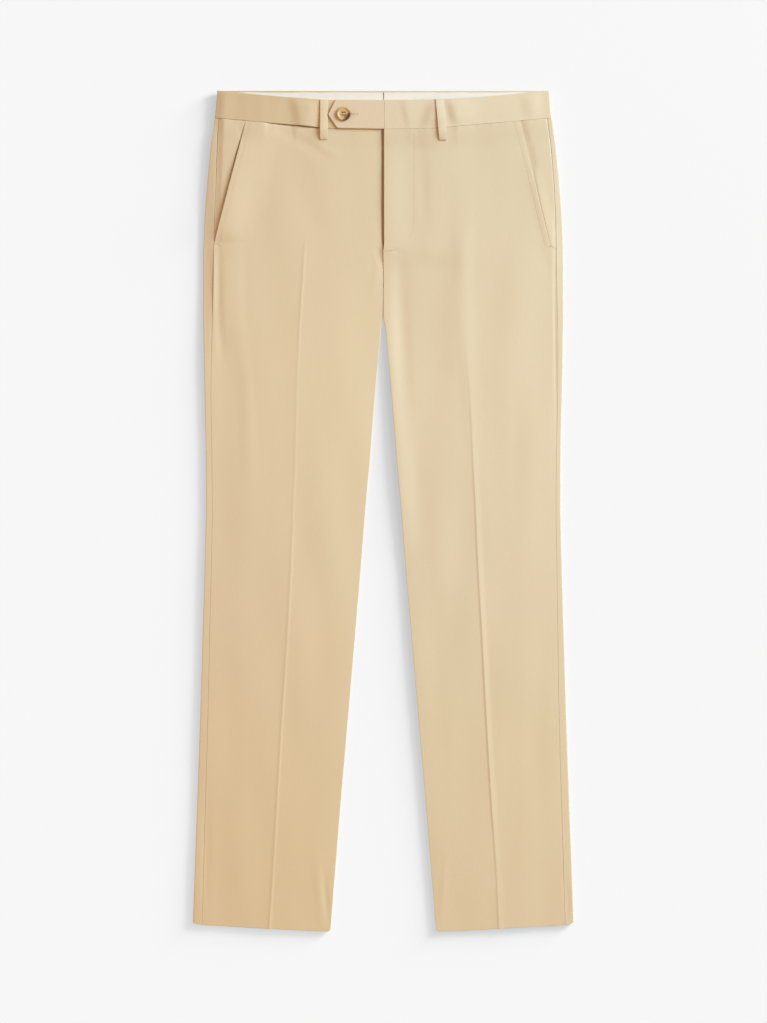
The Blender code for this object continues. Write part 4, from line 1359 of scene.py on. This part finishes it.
def make_horn_look():
    """Honey horn, clouded, brown towards one side, and polished."""
    look = Nodes("horn", HORN_LIGHT, {
        "Roughness": 0.3, "Coat Weight": 0.25, "Coat Roughness": 0.2, "Specular IOR Level": 0.4,
    })
    cloud = look.noise(HORN_CLOUDS, (1.0, 1.7, 1.0), detail=4.0, turn=35.0)
    colour = look.mix("MIX", look.spread(cloud, *HORN_CLOUD_RANGE), HORN_LIGHT, HORN_CLOUD)
    side = look.math("DOT_PRODUCT", look.place(), (*HORN_DARK_SIDE, 0), "VectorMath")
    middle = float(place(BUTTON_X, BUTTON_DROP, 0)[:2] @ HORN_DARK_SIDE)
    shift = look.math("MULTIPLY", cloud, HORN_DARK_SHIFT)
    side = look.math("ADD", look.math("SUBTRACT", side, middle), shift)
    colour = look.mix("MIX", look.spread(side, *HORN_DARK_RANGE), colour, HORN_DARK)
    look.feed(look.shader, {"Base Color": colour})
    return look.material


def make_floor():
    """A pale, evenly bright table: it glows a little, more where the lights fall off."""
    half = FLOOR_SIZE / 2
    corners = [(-half, -half), (half, -half), (half, half), (-half, half)]
    points = np.array([(x, y, -FLOOR_DROP * MM) for x, y in corners])
    share = [FLOOR_SHARE / level for level in KEY_COLOUR]
    values = {"Roughness": 1.0, "Specular IOR Level": 0.0, "Emission Strength": 1.0}
    look = Nodes("pale_floor", share, values)
    where = look.add("TexCoord", {}, "Object")
    glow = [FLOOR_LEVEL - s * c * SKY_LEVEL for s, c in zip(share, SKY_COLOUR)]
    for light in (KEY, TABLE_LIGHT):
        lamp, distance = light_place(light), light["distance"]
        far = look.math("POWER", look.math("DISTANCE", where, lamp, "VectorMath"), 2.0)
        far = look.math("ADD", far, FLOOR_SOFT ** 2)
        near = look.math("POWER", look.math("DIVIDE", distance ** 2 + FLOOR_SOFT ** 2, far), 2.0)
        ahead = look.math("DOT_PRODUCT", where, [-way / distance ** 2 for way in lamp], "VectorMath")
        near = look.math("MULTIPLY", near, look.math("MAXIMUM", look.math("ADD", ahead, 1.0), 0.0))
        given = look.math("MULTIPLY", look.math("MINIMUM", near, FLOOR_NEAR), FLOOR_SHARE * light["level"])
        glow = look.mix("SUBTRACT", 1.0, glow, given)
    look.feed(look.shader, {"Emission Color": glow})
    floor = add_mesh("floor", points, [(0, 1, 2, 3)], look.material)
    return floor


# ---- light and camera

def light_place(light):
    azimuth, elevation = math.radians(light["azimuth"]), math.radians(light["elevation"])
    level = light["distance"] * math.cos(elevation)
    return (level * math.cos(azimuth), level * math.sin(azimuth), light["distance"] * math.sin(elevation))


def make_light(name, light):
    """A square soft light that gives a white table its level under the middle of the picture."""
    data = bpy.data.lights.new(name, "AREA")
    data.shape = "SQUARE"
    data.size = light["size"]
    data.color = KEY_COLOUR
    elevation = math.radians(light["elevation"])
    data.energy = light["level"] * (math.pi * light["distance"]) ** 2 / math.sin(elevation)
    lamp = add_object(name, data)
    lamp.location = light_place(light)
    lamp.rotation_euler = (math.pi / 2 - elevation, 0, math.radians(light["azimuth"]) + math.pi / 2)
    return lamp


def make_lights(floor):
    """A large key light, a low one that draws the soft shadows on the table alone, and an even sky."""
    world = bpy.data.worlds.new("soft_sky")
    world.use_nodes = True
    sky = world.node_tree.nodes["Background"].inputs
    sky["Color"].default_value = (*SKY_COLOUR, 1)
    sky["Strength"].default_value = SKY_LEVEL
    bpy.context.scene.world = world
    make_light("key", KEY)
    table_only = bpy.data.collections.new("table_only")
    table_only.objects.link(floor)
    make_light("table_light", TABLE_LIGHT).light_linking.receiver_collection = table_only


def make_camera():
    data = bpy.data.cameras.new("camera")
    data.lens = CAMERA_LENS
    data.sensor_width = CAMERA_SENSOR
    camera = add_object("camera", data)
    distance = CAMERA_LENS / CAMERA_SENSOR * PICTURE_HEIGHT + CAMERA_FOCUS_HEIGHT
    camera.location = (CAMERA_CENTRE[0] * MM, CAMERA_CENTRE[1] * MM, distance * MM)
    bpy.context.scene.camera = camera
    bpy.context.scene.view_settings.view_transform = "Standard"


def main():
    make_lights(make_floor())
    # The legs' twill carries painted light and shade across the garment.
    twill, thread = make_twill("cotton_twill", LEG_PAINTED_SHADING), make_thread_look("sewing_thread", THREAD)
    make_legs(twill, thread)
    make_fly_shield(twill)
    make_lining(make_lining_look())
    make_waistband()
    make_tab(thread)
    make_front_loops(twill, thread)
    make_back_loops(twill)
    make_button(make_horn_look(), make_thread_look("button_thread_and_hole_shade", BUTTON_THREAD_AND_HOLE_SHADE))
    make_camera()


main()
